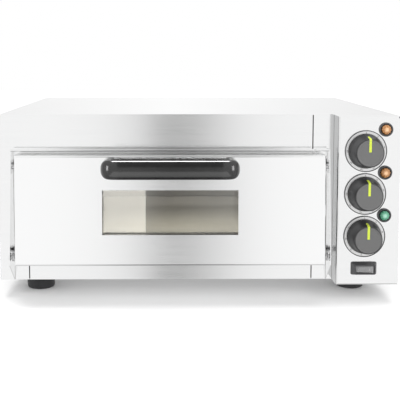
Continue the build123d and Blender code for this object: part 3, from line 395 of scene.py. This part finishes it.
# ---- casing screws -------------------------------------------------------------------------------
# Zinc-plated pan-head screws with a cross recess, six in the lid's side flanges and six in the back.
def crossed_screw(head, inward, head_radius, head_height, shank_radius, length, count=48):
    """A screw turned about its axis from the middle of its head's top: a dome with a cross pressed into it,
    a flat underside, and a shank with a ridge every 0.8 mm down to a point. head is where the head sits."""
    dome = np.linspace(0, 1, 15)
    crown = np.stack([head_radius * dome, head_height * (0.55 + 0.45 * np.sqrt(1 - 0.98 * dome ** 2))], 1)
    turns = np.arange(0, length - 0.0012, 0.0004)
    ridges = shank_radius - 0.00016 * (np.arange(len(turns)) % 2)
    shank = np.stack([ridges, -turns], 1)
    rows = np.concatenate([crown, [(head_radius, 0.0002), (head_radius - 0.0002, 0), (shank_radius, 0)],
                           shank, [(0, -length)]])
    points = turned(rows, (0, 0, 0), (0, 0, 1), count)
    x, y = points[:15, :, 0], points[:15, :, 1]
    sunk = np.clip(1.6 - np.minimum(np.abs(x), np.abs(y)) / (0.16 * head_radius), 0, 1)
    reach = np.clip((0.62 * head_radius - np.hypot(x, y)) / (0.15 * head_radius), 0, 1)
    points[:15, :, 2] -= 0.5 * head_height * sunk * reach
    inward = np.array(inward, float)
    across = np.array([0, 0, 1.0]) if abs(inward[2]) < 0.5 else np.array([1.0, 0, 0])
    axes = np.stack([across, np.cross(-inward, across), -inward])
    return np.array(head, float) + points @ axes


low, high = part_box("casing_screws")
screw_head, screw_radius, column_step = 0.0018, 0.0032, 0.03
lid_low, lid_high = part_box("top_cover")
depth = high[1] - screw_head - lid_low[1] - column_step
lid_screws = [((x, lid_high[1] - depth * (1 - share), high[2] - screw_radius), (way, 0, 0))
              for x, way in ((lid_low[0], 1), (lid_high[0], -1)) for share in (0.12, 0.5, 0.88)]
back_screws = [((x, lid_high[1], z), (0, -1, 0)) for x in (lid_low[0] + 0.014, 0, lid_high[0] - 0.014)
               for z in (low[2] + screw_radius, lid_high[2] - 0.03)]
screws = surface("cross_head_screws", [crossed_screw(place, way, screw_radius, screw_head, 0.0016, 0.005)
                                       for place, way in lid_screws + back_screws], galvanised)
fit(screws, "casing", "zinc_steel", "casing_screws")


# ---- cable entry ---------------------------------------------------------------------------------
# Black polyamide gland in the back: hexagon against the sheet, ribbed dome nut outside, locknut inside.
def hexagon_corners(flats, chamfer_slope, ends):
    """A swell that makes a turned form six-sided over its flats, with its corners turned off at both ends."""
    def swell(radius, height, angle):
        face = 0.5 * flats / np.cos((angle + np.pi / 6) % (np.pi / 3) - np.pi / 6)
        inside = np.minimum(height - ends[0], ends[1] - height).clip(0)
        cut = np.minimum(face, 0.49 * flats + chamfer_slope * inside)
        return np.where(radius > 0.45 * flats, cut, radius)
    return swell


def grip_ribs(radius, height, angle):
    """Round, with 16 raised ribs down the nut's flank that fade out on its dome."""
    flank = np.clip((radius - 0.0088) / 0.001, 0, 1) * np.clip((0.0145 - height) / 0.003, 0, 1)
    return radius - 0.0007 * flank * np.clip(1.2 * np.cos(16 * angle) + 0.2, 0, 1)


def moulded(name, dark, light, smooth=0.3, rough=0.5, relief=1.2e-5, grain=0.0004, **fixed):
    """Moulded plastic with the fine spark texture of its mould."""
    return grained(name, dark, light, grain, smooth, rough, relief, **fixed)


low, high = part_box("cable_gland")
gland = np.array([(low[0] + high[0]) / 2, lid_high[1], (low[2] + high[2]) / 2])
bore, thread = 0.0046, 0.0079
black_plastic = moulded("black_polyamide", (0.012, 0.012, 0.013, 1), (0.03, 0.03, 0.031, 1))
gland_body = rounded([(bore, -0.011), (thread, -0.011), (thread, 0), (0.011, 0), (0.011, 0.005),
                      (0.0099, 0.005), (bore, 0.005), (bore, -0.011)], 0.0003)
gland_nut = rounded([(bore, 0.0052), (0.0105, 0.0052), (0.0105, 0.013), (0.0084, 0.0176), (0.0066, 0.018),
                     (bore + 0.0009, 0.018), (bore, 0.0168), (bore, 0.0052)], 0.0008)
nut_bore = thread + 0.0001
lock_nut = [(nut_bore, -0.0055), (0.011, -0.0055), (0.011, -0.0048), (0.011, -0.0017), (0.011, -0.001),
            (nut_bore, -0.001), (nut_bore, -0.0055)]
gland_piece = surface("cable_entry_gland", [
    turned(gland_body, gland, (0, 1, 0), 120, hexagon_corners(0.022, 1.7, (-0.0002, 0.0052))),
    turned(gland_nut, gland, (0, 1, 0), 192, grip_ribs),
    turned(lock_nut, gland, (0, 1, 0), 120, hexagon_corners(0.022, 1.7, (-0.0057, -0.0008))),
], black_plastic, 25)
fit(gland_piece, "casing", "black_plastic", "cable_gland")


# ---- wiring inside the control column ------------------------------------------------------------
# The loom in a braided glass-fibre sleeve, from the terminal block to the back of the controls.
def braid(tree, place):
    """Two families of yarns that cross: stripes along one diagonal raised over stripes along the other."""
    families = [tree.node("TexWave", {"bands_direction": "DIAGONAL"},
                          {"Vector": way, "Scale": 260.0, "Distortion": 0.6})
                for way in (place, place.scaled(1, -1, 1))]
    yarn = tree.math("MAXIMUM", *families)
    return {"Base Color": yarn.mixed((0.4, 0.37, 0.3, 1), (0.8, 0.77, 0.68, 1)),
            "Roughness": 0.95 - 0.2 * yarn, "Normal": yarn.relief(0.0003)}


dress(finish("braided_sleeve", braid), "wiring_loom")


# ---- dials ---------------------------------------------------------------------------------------
# Spun aluminium dials behind the knobs: a flat ring with printed figures, dished towards the spindle,
# held by a dark plastic rim. The two upper ones read degrees, the lowest one minutes.
out = (0, -1, 0)
panel_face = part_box("control_panel")[0][1]
knob_names = ("top_heat", "bottom_heat", "timer")
low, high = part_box("dial_plates")
dial_radius = (high[0] - low[0]) / 2
dial_x = (low[0] + high[0]) / 2
dial_centres = []
for name in knob_names:
    low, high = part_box(name + "_shaft")
    dial_centres.append((dial_x, panel_face, (low[2] + high[2]) / 2))


def spun(tree, place):
    """Turned metal: fine circles about the dial's centre, which its UV map counts outwards."""
    lay = tree.node("UVMap", {"uv_map": "lay"}, {})
    rings = lay.scaled(0.02, 1, 0).noise(420.0, 2.0)
    return {"Base Color": rings.mixed((0.62, 0.62, 0.62, 1), (0.9, 0.9, 0.9, 1)),
            "Roughness": 0.2 + 0.16 * rings, "Normal": rings.relief(1.5e-5)}


spun_aluminium = finish("spun_aluminium", spun, Metallic=1.0)
rim_plastic = moulded("rim_plastic", (0.03, 0.03, 0.032, 1), (0.07, 0.07, 0.072, 1), 0.2, 0.35)
plate = rounded([(0.005, 0.0), (dial_radius - 0.0006, 0.0), (dial_radius - 0.0006, 0.0012), (0.0245, 0.0012),
                 (0.0225, 0.0006), (0.0055, 0.0006), (0.005, 0.0)], 0.0005)
rim = rounded([(dial_radius - 0.0012, 0.0012), (dial_radius - 0.0009, 0.0022), (dial_radius - 0.0002, 0.0022),
               (dial_radius, 0.0018), (dial_radius, 0.0), (dial_radius - 0.0006, 0.0),
               (dial_radius - 0.0012, 0.0012)], 0.0003)
dial_faces = surface("dial_faces", [turned(plate, c, out, 160) for c in dial_centres], spun_aluminium)
fit(dial_faces, "casing", "dial_aluminium", "dial_plates")
dial_rims = surface("dial_rims", [turned(rim, c, out, 160) for c in dial_centres], rim_plastic)
fit(dial_rims, "casing", "black_plastic", "dial_plates")

printing = moulded("printing_ink", (0.02, 0.02, 0.02, 1), (0.05, 0.05, 0.05, 1), 0.5, 0.7)
degrees = (270, [str(50 * i) for i in range(8)])
minutes = (300, [str(15 * i) for i in range(9)])
scales = [degrees, degrees, minutes]
ink_face, figure_radius, figure_height = -0.00125, 0.0262, 0.0019


def printed_bar(centre, turn, inner, outer, width):
    """A raised bar of ink on the dial, pointing outwards at a clockwise turn from the top: a closed box."""
    a = math.radians(turn)
    radial, cross = np.array([math.sin(a), 0, math.cos(a)]), np.array([math.cos(a), 0, -math.sin(a)])
    face, back = np.array([0, ink_face - 0.00004, 0]), np.array([0, ink_face + 0.0001, 0])
    edge = 0.5 * width * cross
    near, far = np.array(centre) + inner * radial, np.array(centre) + outer * radial
    outline = [[end + back - edge, end + face - edge, end + face + edge, end + back + edge, end + back - edge]
               for end in (near, far)]
    middles = [[(near if i == 0 else far) + (face + back) / 2] * 5 for i in (0, 1)]
    return np.array([middles[0], outline[0], outline[1], middles[1]])


bars = []
for centre, (travel, figures) in zip(dial_centres, scales):
    pitch = travel / (len(figures) - 1)
    for i in range(4 * (len(figures) - 1) + 1):
        long = i % 4 == 0
        inner, outer, width = (0.0244, 0.0252, 0.00035) if long else (0.0246, 0.025, 0.0002)
        bars.append(printed_bar(centre, i * pitch / 4, inner, outer, width))
ticks = surface("dial_ticks", bars, printing)
fit(ticks, "casing", "dial_aluminium")

figure_meshes = bmesh.new()
for centre, (travel, figures) in zip(dial_centres, scales):
    for i, figure in enumerate(figures):
        lettering = bpy.data.curves.new("figure", "FONT")
        lettering.body, lettering.size, lettering.extrude = figure, figure_height * 1.4, 0.00003
        lettering.align_x, lettering.align_y, lettering.resolution_u = "CENTER", "CENTER", 3
        lettering_object = bpy.data.objects.new("figure", lettering)
        bpy.context.scene.collection.objects.link(lettering_object)
        bpy.context.view_layer.update()
        outlines = lettering_object.evaluated_get(bpy.context.evaluated_depsgraph_get())
        flat = bpy.data.meshes.new_from_object(outlines)
        points = np.zeros(len(flat.vertices) * 3)
        flat.vertices.foreach_get("co", points)
        x, y, z = points.reshape(-1, 3).T
        a = math.radians(i * travel / (len(figures) - 1))
        reach = figure_radius + y
        spot = np.stack([centre[0] + x * math.cos(a) + reach * math.sin(a), centre[1] + ink_face - z,
                         centre[2] - x * math.sin(a) + reach * math.cos(a)], 1)
        flat.vertices.foreach_set("co", spot.ravel())
        figure_meshes.from_mesh(flat)
        bpy.data.objects.remove(lettering_object)
bmesh.ops.remove_doubles(figure_meshes, verts=figure_meshes.verts, dist=1e-7)
bmesh.ops.recalc_face_normals(figure_meshes, faces=figure_meshes.faces)
figure_mesh = bpy.data.meshes.new("dial_figures")
figure_meshes.to_mesh(figure_mesh)
figure_meshes.free()
figure_mesh.materials.append(printing)
dial_figures = bpy.data.objects.new("dial_figures", figure_mesh)
bpy.context.scene.collection.objects.link(dial_figures)
fit(dial_figures, "casing", "dial_aluminium")


# ---- knobs ---------------------------------------------------------------------------------------
# Moulded dark grey knobs, tapered, with an eased edge and a slightly dished face. A lime pointer is
# moulded into each, from the middle of the face to halfway down the flank.
def pointer(profile, centre, width, proud):
    """A strip laid along the knob's profile in the plane above its axis: rows follow the profile, and
    columns go round the strip's section, flat on top with rounded sides that sink into the knob."""
    along = np.gradient(profile, axis=0)
    normal = np.stack([along[:, 1], -along[:, 0]], 1)
    normal *= (np.sign(normal.sum()) / np.linalg.norm(normal, axis=1))[:, None]
    section = np.array([(0, -2.2), (-1, -2.2), (-1, -0.2), (-0.93, 0.55), (-0.78, 0.9), (0, 1), (0.78, 0.9),
                        (0.93, 0.55), (1, -0.2), (1, -2.2), (0, -2.2)])
    x, lift = section.T * np.array([[width / 2], [proud]])
    radius = profile[:, :1] + normal[:, :1] * lift[None]
    height = profile[:, 1:] + normal[:, 1:] * lift[None]
    up = radius - x[None] ** 2 / 0.04
    rows = np.stack([centre[0] + x[None] + 0 * up, centre[1] - height, centre[2] + up], -1)
    ends = [np.broadcast_to(rows[i].mean(0), rows[i].shape)[None] for i in (0, -1)]
    return np.concatenate([ends[0], rows, ends[1]])


knob_gap, knob_height, shaft_radius = 0.0018, 0.024, 0.00305
knob_foot, knob_face = dial_radius - 0.0053, dial_radius - 0.0099


def knob_skin(tree, place):
    """Grey plastic, darker and smoother outside the face: its UV map runs out along the profile."""
    outward = tree.node("SeparateXYZ", {}, {0: tree.node("UVMap", {"uv_map": "lay"}, {})}, 1)
    side = tree.node("MapRange", {"interpolation_type": "SMOOTHSTEP"}, {0: outward, 1: 0.15, 2: 0.21})
    fine = place.noise(3300.0, 3.0)
    face = fine.mixed((0.085, 0.085, 0.085, 1), (0.12, 0.12, 0.12, 1))
    return {"Base Color": side.mixed(face, (0.022, 0.022, 0.023, 1)),
            "Roughness": 0.55 - 0.25 * side + 0.1 * fine, "Normal": fine.relief(1.5e-5)}


grip_plastic = finish("knob_plastic", knob_skin)
lime = moulded("lime_pointer", (0.42, 0.5, 0.03, 1), (0.52, 0.62, 0.06, 1), 0.4, 0.55)
flank = [(knob_face - 0.0009, knob_height - 0.0001), (knob_face + 0.0002, knob_height - 0.0011),
         (knob_foot - 0.0002, 0.0032), (knob_foot, 0.0022)]
dished = [(0, knob_height - 0.0007), (knob_face - 0.0034, knob_height - 0.0005),
          (knob_face - 0.0026, knob_height)]
wall, boss, hollow_top, bore_top = knob_foot - 0.0045, shaft_radius + 0.003, 0.014, 0.018
inside = [(knob_foot, 0.0), (wall, 0.0), (wall, hollow_top), (boss, hollow_top), (boss, 0.0),
          (shaft_radius, 0.0), (shaft_radius, bore_top), (0, bore_top)]
grip = rounded(dished + flank + inside, 0.0009)
half_way = ((knob_face + knob_foot) / 2, knob_height / 2)
line_run = rounded([(0.0015, knob_height - 0.0005), (knob_face - 0.003, knob_height - 0.0003), *flank[:2],
                    half_way], 0.0012)
for name, centre in zip(knob_names, dial_centres):
    seat = (centre[0], centre[1] - knob_gap, centre[2])
    knob = surface(name + "_grip", [turned(grip, seat, out, 128)], grip_plastic)
    fit(knob, name + "_control", "knob_grey", name + "_knob")
    line = surface(name + "_pointer", [pointer(line_run, seat, 0.0034, 0.00028)], lime)
    fit(line, name + "_control", "knob_grey", name + "_knob")


# ---- pilot lamps ---------------------------------------------------------------------------------
# Neon pilot lamps beside the dials: a black collar and barrel, and a domed lens with a moulded star
# of prisms behind it. Two are amber and the lowest is green.
def star_prisms(radius, height, angle):
    """Round, with 10 soft lobes halfway up the dome."""
    lobes = np.clip(radius / 0.003, 0, 1) * np.clip((height - 0.0018) / 0.002, 0, 1)
    return radius - 0.00035 * lobes * np.cos(10 * angle)


def glowing(name, rim, body, heart, glow):
    """Coloured lens: dark at its rim and pale at its heart, as its UV map runs from the middle outwards."""
    def look(tree, place):
        lay = tree.node("UVMap", {"uv_map": "lay"}, {})
        outward = tree.node("SeparateXYZ", {}, {0: lay}, 1)
        petals = 0.08 * place.noise(900.0) + outward
        stops = [(0.0, heart), (0.16, body), (0.3, body), (0.5, rim)]
        tint = tree.node("ValToRGB", {"stops": stops}, {0: petals})
        return {"Base Color": tint, "Emission Color": tint, "Roughness": 0.1 + 0.1 * place.noise(400.0)}
    return finish(name, look, Emission_Strength=glow, Coat_Weight=0.6, Coat_Roughness=0.03)


pilot_low, pilot_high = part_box("pilot_bezels")
pilot_radius = (pilot_high[0] - pilot_low[0]) / 2
pilot_x = (pilot_low[0] + pilot_high[0]) / 2
pilot_top, pilot_bottom = pilot_high[2] - pilot_radius, pilot_low[2] + pilot_radius
pilots = [(pilot_x, panel_face, z) for z in (pilot_top, (pilot_top + pilot_bottom) / 2, pilot_bottom)]
collar = rounded([(0.0054, -0.022), (0.0054, 0.0), (0.0071, 0.0), (0.0071, 0.0012), (0.0078, 0.0026),
                  (pilot_radius - 0.0004, 0.0026), (pilot_radius, 0.0019), (pilot_radius, 0.0), (0.0064, 0.0),
                  (0.0064, -0.024), (0, -0.024), (0, -0.022), (0.0054, -0.022)], 0.0006)
collars = surface("pilot_collars", [turned(collar, c, out, 72) for c in pilots], rim_plastic)
fit(collars, "casing", "black_plastic", "pilot_bezels")
dome = rounded([(0, 0.0062), (0.0034, 0.0058), (0.0058, 0.0047), (0.00695, 0.0028), (0.00695, 0.0008),
                (0.0052, 0.0008), (0.0052, -0.006), (0, -0.006)], 0.0012)
amber = glowing("amber_lens", (0.07, 0.03, 0.008, 1), (0.33, 0.15, 0.05, 1), (0.75, 0.5, 0.3, 1), 0.05)
green = glowing("green_lens", (0.015, 0.07, 0.045, 1), (0.07, 0.26, 0.16, 1), (0.4, 0.68, 0.55, 1), 0.05)
amber_domes = surface("amber_domes", [turned(dome, c, out, 80, star_prisms) for c in pilots[:2]], amber)
fit(amber_domes, "casing", "amber_lens", "amber_lenses")
green_dome = surface("green_dome", [turned(dome, pilots[2], out, 80, star_prisms)], green)
fit(green_dome, "casing", "green_lens", "green_lens")


# ---- rocker switch -------------------------------------------------------------------------------
# Switch in a moulded splash surround. The rocker turns on a vertical trunnion: two dished facets, with
# a bar and a ring moulded in as its marks.
def stacked(loops, axis_point, across, upward, forward):
    """A form of stacked outlines, each (half width, half height, corner radius, distance forward): columns
    go once round the rounded rectangle."""
    turn = np.linspace(0, 2 * np.pi, 65)[:-1]
    c, s = np.cos(turn), np.sin(turn)
    rows = []
    for half_width, half_height, corner, distance in loops:
        x = np.sign(c) * (half_width - corner) + corner * c
        z = np.sign(s) * (half_height - corner) + corner * s
        rows.append(np.array(axis_point) + x[:, None] * np.array(across) + z[:, None] * np.array(upward)
                    + distance * np.array(forward))
    rows = np.array(rows)
    return np.concatenate([rows, rows[:, :1]], 1)


dress(moulded("switch_plastic", (0.03, 0.03, 0.032, 1), (0.06, 0.06, 0.062, 1), 0.3, 0.45), "switch_housing")
low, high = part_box("switch_rocker")
trunnion_reach = 0.0055
trunnion = np.array([dial_x, panel_face - trunnion_reach, (low[2] + high[2]) / 2])
rest_tilt, rocker_half, rocker_rise = math.radians(8), 0.0122, 0.0048
# The face rises from the trunnion to both ends, dished across and eased at its edges.
u, v = np.meshgrid(np.linspace(-1, 1, 49), np.linspace(-1, 1, 21), indexing="xy")
edge = np.maximum(np.abs(u) ** 14, np.abs(v) ** 9)
front = 0.0019 + 0.0013 * np.abs(u) ** 1.4 - 0.00035 * (1 - v ** 2) - 0.0007 * edge
face_x, face_z = u * rocker_half, v * rocker_rise
back_x, back_z = u * (rocker_half - 0.0008), v * rocker_rise
facets = np.stack([face_x, -front, face_z], -1)
back = np.stack([back_x[:, ::-1], 0 * front + 0.0022, back_z], -1)
borders = [np.stack([facets[rows], back[:, ::-1][rows]])
           for rows in ((slice(None), 0), (slice(None), -1), (0, slice(None)), (-1, slice(None)))]
spindle = turned([(0, -0.0064), (0.0012, -0.0064), (0.0012, 0.0064), (0, 0.0064)], (0, 0, 0), (0, 0, 1), 24)
mark_x = 0.0068
bar_mark = stacked([(0.0, 0.0, 0.0, -0.0005), (0.0003, 0.0016, 0.0002, -0.0005),
                    (0.0003, 0.0016, 0.0002, 0.0001), (0.0, 0.0, 0.0, 0.0001)],
                   (mark_x, -0.00235, 0), (1, 0, 0), (0, 0, 1), (0, -1, 0))
loop = np.linspace(0, 2 * np.pi, 33)[None]
tube = np.linspace(0, 2 * np.pi, 13)[:, None]
ring_radius = 0.0014 + 0.00025 * np.cos(tube)
ring_mark = np.stack([-mark_x + ring_radius * np.cos(loop), -0.0023 + 0.0003 * np.sin(tube) + 0 * loop,
                      ring_radius * np.sin(loop)], -1)
c, s = math.cos(rest_tilt), math.sin(rest_tilt)
tilt = np.array([[c, -s, 0], [s, c, 0], [0, 0, 1]])
rocker_plastic = moulded("rocker_plastic", (0.17, 0.17, 0.172, 1), (0.24, 0.24, 0.242, 1), 0.35, 0.5)
rocker = surface("rocker_paddle", [trunnion + g @ tilt for g in [facets, back, *borders, spindle]],
                 rocker_plastic)
fit(rocker, "rocker", "rocker_grey", "switch_rocker")
pale_ink = moulded("pale_ink", (0.3, 0.3, 0.3, 1), (0.4, 0.4, 0.4, 1), 0.4, 0.6)
marks = surface("rocker_marks", [trunnion + g @ tilt for g in (bar_mark, ring_mark)], pale_ink)
fit(marks, "rocker", "rocker_grey")


# ---- door handle ---------------------------------------------------------------------------------
# Bow handle moulded in polished black phenolic: a rounded bar on two legs that stand on the leaning
# door, screwed from inside the door.
low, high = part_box("door_handle")
skin_low, skin_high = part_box("door_outer_skin")
door_foot_depth, door_head_depth, handle_drop = 0.051, 0.0444, 0.0166
lean = math.atan((door_foot_depth - door_head_depth) / (skin_high[2] - skin_low[2]))
outward = np.array([0, -math.cos(lean), math.sin(lean)])
upward = np.array([0, math.sin(lean), math.cos(lean)])
handle_length, handle_rise, handle_reach, leg = high[0] - low[0], 0.0272, 0.036, 0.015
foot_z = skin_high[2] - handle_drop
foot_y = skin_low[1] + (foot_z - skin_low[2]) * math.tan(lean)
handle_seat = np.array([(low[0] + high[0]) / 2, foot_y, foot_z])
grip_depth, bow_corner = 0.014, 0.0185
# The bow's centre line seen from above: a leg, a bend, the bar, a bend and a leg.
half, grip_line = handle_length / 2 - leg / 2, handle_reach - grip_depth / 2
path = rounded([(-half, 0.0), (-half, grip_line), (half, grip_line), (half, 0.0)], bow_corner, 25)
path = np.concatenate([np.linspace(path[0], path[1], 6)[:-1], path[1:26],
                       np.linspace(path[25], path[26], 30)[1:-1], path[26:-1],
                       np.linspace(path[-2], path[-1], 6)[1:]])
# A rounded section swept along it: thicker in the legs, and lower towards the handle's ends.
along = np.gradient(path, axis=0)
along /= np.linalg.norm(along, axis=1)[:, None]
normal = np.stack([-along[:, 1], along[:, 0]], 1)
thickness = grip_depth + (leg - grip_depth) * np.abs(along[:, 1])
round_turn = np.linspace(0, 2 * np.pi, 73)
bulge = np.sign(np.cos(round_turn)) * np.abs(np.cos(round_turn)) ** 0.8
lift = np.sign(np.sin(round_turn)) * np.abs(np.sin(round_turn)) ** 0.9
plan = path[:, None] + normal[:, None] * (0.5 * thickness[:, None] * bulge[None])[..., None]
past = np.clip((np.abs(plan[..., 0]) - (handle_length / 2 - handle_rise / 2)) / (handle_rise / 2), 0, 1)
section, end = np.abs(lift)[None] + 1e-4, 1.12 * np.sqrt(1 - 0.985 * past ** 2)
height = 0.5 * handle_rise * np.sign(lift)[None] * (section ** -10 + end ** -10) ** -0.1
bow = (handle_seat + plan[..., :1] * np.array([1.0, 0, 0]) + plan[..., 1:] * outward
       + height[..., None] * upward)
caps = [np.broadcast_to(bow[i].mean(0), bow[i].shape)[None] for i in (0, -1)]
phenolic = moulded("polished_phenolic", (0.003, 0.003, 0.003, 1), (0.009, 0.009, 0.009, 1), 0.12, 0.2, 3e-6,
                   0.0008, Coat_Weight=0.3, Coat_Roughness=0.08)
handle = surface("bow_handle", [np.concatenate([caps[0], bow, caps[1]])], phenolic, 50)
fit(handle, "door", "handle_black", "door_handle")
handle_only.objects.link(handle)


# ---- door glass ----------------------------------------------------------------------------------
# Two toughened panes, one behind the folded window edge and one behind the inner sheet, almost
# without colour, with a reflection that grows towards grazing angles. The lamp has a glass of its own.
def pane(name, tint, mirror):
    """Clear glass as a mix of see-through and mirror; faint smears make the mirror less sharp in places."""
    made = bpy.data.materials.new(name)
    made.use_nodes = True
    made.node_tree.nodes.clear()
    tree = Shade(made.node_tree)
    place = tree.node("TexCoord", {}, {}, "Object")
    smear = place.noise(30.0, 3.0)
    through = tree.node("BsdfTransparent", {}, {"Color": tint})
    shine = tree.node("BsdfAnisotropic", {}, {"Color": (1, 1, 1, 1), "Roughness": 0.004 + 0.004 * smear})
    facing = tree.node("Fresnel", {}, {"IOR": 1.52})
    mixed = tree.node("MixShader", {}, {0: facing * mirror, 1: through, 2: shine})
    tree.node("OutputMaterial", {}, {"Surface": mixed})
    return made


dress(pane("window_pane", (0.975, 0.975, 0.965, 1), 1.4), "outer_glass")
dress(pane("inner_pane", (0.975, 0.975, 0.965, 1), 0.8), "inner_glass")
dress(pane("lamp_dome_glass", (0.96, 0.95, 0.9, 1), 1.0), "lamp_glass")


def bulb_glow(tree, place):
    """Frosted bulb, brighter in soft patches."""
    cloud = place.noise(120.0)
    return {"Base Color": cloud.mixed((0.8, 0.72, 0.55, 1), (0.95, 0.9, 0.78, 1)),
            "Roughness": 0.3 + 0.2 * cloud,
            "Emission Color": cloud.mixed((1.0, 0.72, 0.4, 1), (1.0, 0.85, 0.6, 1))}


dress(finish("frosted_bulb", bulb_glow, Emission_Strength=1.0), "lamp_bulb")


# ---- mineral wool --------------------------------------------------------------------------------
# Batts cut from compressed wool and packed round the chamber and in the door: fibrous slabs with
# crowned faces and sides that pull in, slit where the elements and the lamp pass.
def fibrous(tree, place):
    """Tangled fibres: long thin noise in three directions, in layers that part along the batt."""
    strands = [place.scaled(*way).noise(900.0, 3.0)
               for way in ((1, 0.12, 0.12), (0.12, 1, 0.12), (0.12, 0.12, 1))]
    tangle = tree.math("MAXIMUM", strands[0], tree.math("MAXIMUM", strands[1], strands[2]))
    layer = place.noise(45.0, 4.0)
    return {"Base Color": (0.5 * tangle + 0.5 * layer).mixed((0.36, 0.31, 0.16, 1), (0.72, 0.67, 0.45, 1)),
            "Roughness": 0.85 + 0.15 * layer, "Normal": (tangle + layer).relief(0.0006)}


def batt(low, high, seed):
    """A crowned closed slab between two corners: a cube's grid pressed to a rounded box, with lumps of a few
    tenths of a millimetre from sums of sines whose phases the seed sets."""
    low, high = np.array(low, float), np.array(high, float)
    size, middle = high - low, (low + high) / 2
    phase = np.random.default_rng(seed).uniform(0, 2 * np.pi, (4, 3))
    grids = []
    for axis in range(3):
        one, two = [a for a in range(3) if a != axis]
        steps = [int(np.clip(size[a] / 0.008, 6, 44)) for a in (one, two)]
        lines = [np.sin(np.linspace(-1, 1, count) * np.pi / 2) for count in steps]
        p, q = np.meshgrid(*lines, indexing="ij")
        for side in (-1, 1):
            cube = np.zeros(p.shape + (3,))
            cube[..., one], cube[..., two], cube[..., axis] = p, q, side
            norm = (np.abs(cube) ** 7).sum(-1, keepdims=True) ** (1 / 7)
            grids.append(cube / norm)
    for i, cube in enumerate(grids):
        points = cube * size / 2
        lump = sum(np.sin((points / 0.03 * (k + 1)) @ phase[k] + phase[k, 0]) for k in range(4)) / 4
        pull = 1 - 0.012 * (1 + lump)
        grids[i] = middle + points * pull[..., None]
    return grids


wool = finish("mineral_wool", fibrous)
low, high = [np.array(c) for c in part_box("chamber_insulation")]
liner_low, liner_high = np.array(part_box("chamber_floor")[0]), np.array(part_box("chamber_ceiling")[1])
bead_low, bead_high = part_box("element_ceramics")
bead_radius, element_width = 0.005, 0.055
top_tube, bottom_tube = bead_high[2] - bead_radius, bead_low[2] + bead_radius
leg_pitch = (bead_high[1] - bead_low[1] - 2 * bead_radius - element_width) / 2
legs = [bead_low[1] + bead_radius + leg_pitch * i + side for i in range(3) for side in (0, element_width)]
lamp_low, lamp_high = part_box("lamp_holder")
lamp_y, lamp_z = (lamp_low[1] + lamp_high[1]) / 2, (lamp_low[2] + lamp_high[2]) / 2
gap = 0.0004
left_margin, right_margin, front_margin, top_margin = 0.006, 0.0076, 0.011, 0.018
roof_low = liner_high[2] + gap
roof_seam, back_wall = roof_low - 2 * gap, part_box("chamber_back_wall")[1][1]
right_wall, right_side = liner_high[0] + gap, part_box("partition_wall")[0][0] - gap
# Each batt is a list of boxes, each between two corners.
batts = {
    "wool_roof": [((low[0] + left_margin, low[1], roof_low), (right_side - right_margin, high[1], high[2]))],
    "wool_left": [((low[0], low[1], low[2]), (liner_low[0] - gap, high[1], roof_seam))],
    "wool_back": [((liner_low[0] + gap, back_wall + gap, low[2]), (liner_high[0] - gap, high[1], roof_seam))],
    "wool_floor": [((liner_low[0] + gap, low[1] + front_margin, low[2]),
                    (liner_high[0] - gap, back_wall - gap, liner_low[2] - gap))],
}
# The right-hand batt is cut round the lamp holder and between the elements' legs.
lamp_clear, tube_clear = 0.0225, 0.0065
mid_low, mid_high = bottom_tube + tube_clear, top_tube - tube_clear
batts["wool_right"] = [
    ((right_wall, low[1], mid_low), (right_side, lamp_y - lamp_clear, top_tube - top_margin)),
    ((right_wall, lamp_y + lamp_clear, mid_low), (right_side, high[1], mid_high)),
    ((right_wall, lamp_y - lamp_clear, mid_low), (right_side, lamp_y + lamp_clear, lamp_z - lamp_clear)),
    ((right_wall, lamp_y - lamp_clear, lamp_z + lamp_clear), (right_side, lamp_y + lamp_clear, mid_high)),
]
stops = [low[1] - tube_clear, *legs, high[1] + tube_clear]
for tube_z in (top_tube, bottom_tube):
    for before, after in zip(stops[:-1], stops[1:]):
        batts["wool_right"].append((
            (right_wall, before + tube_clear, max(tube_z - tube_clear, low[2])),
            (right_side, after - tube_clear, min(tube_z + tube_clear, roof_seam))))
for seed, (name, boxes) in enumerate(batts.items()):
    grids = [g for i, (a, b) in enumerate(boxes) for g in batt(a, b, 10 * seed + i)]
    blanket = surface(name, grids, wool, 70)
    fit(blanket, "casing", "mineral_wool", "chamber_insulation")
low, high = [np.array(c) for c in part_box("door_insulation")]
tunnel_low, tunnel_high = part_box("inner_glass")
packing = [
    (low, (tunnel_low[0] - gap, high[1], high[2])),
    ((tunnel_high[0] + gap, low[1], low[2]), high),
    ((tunnel_low[0] - gap, low[1], low[2]), (tunnel_high[0] + gap, high[1], tunnel_low[2] - gap)),
    ((tunnel_low[0] - gap, low[1], tunnel_high[2] + gap), (tunnel_high[0] + gap, high[1], high[2])),
]
grids = [g for i, (a, b) in enumerate(packing) for g in batt(a, b, 90 + i)]
door_wool = surface("wool_door", grids, wool, 70)
fit(door_wool, "door", "mineral_wool", "door_insulation")

bpy.context.view_layer.update()
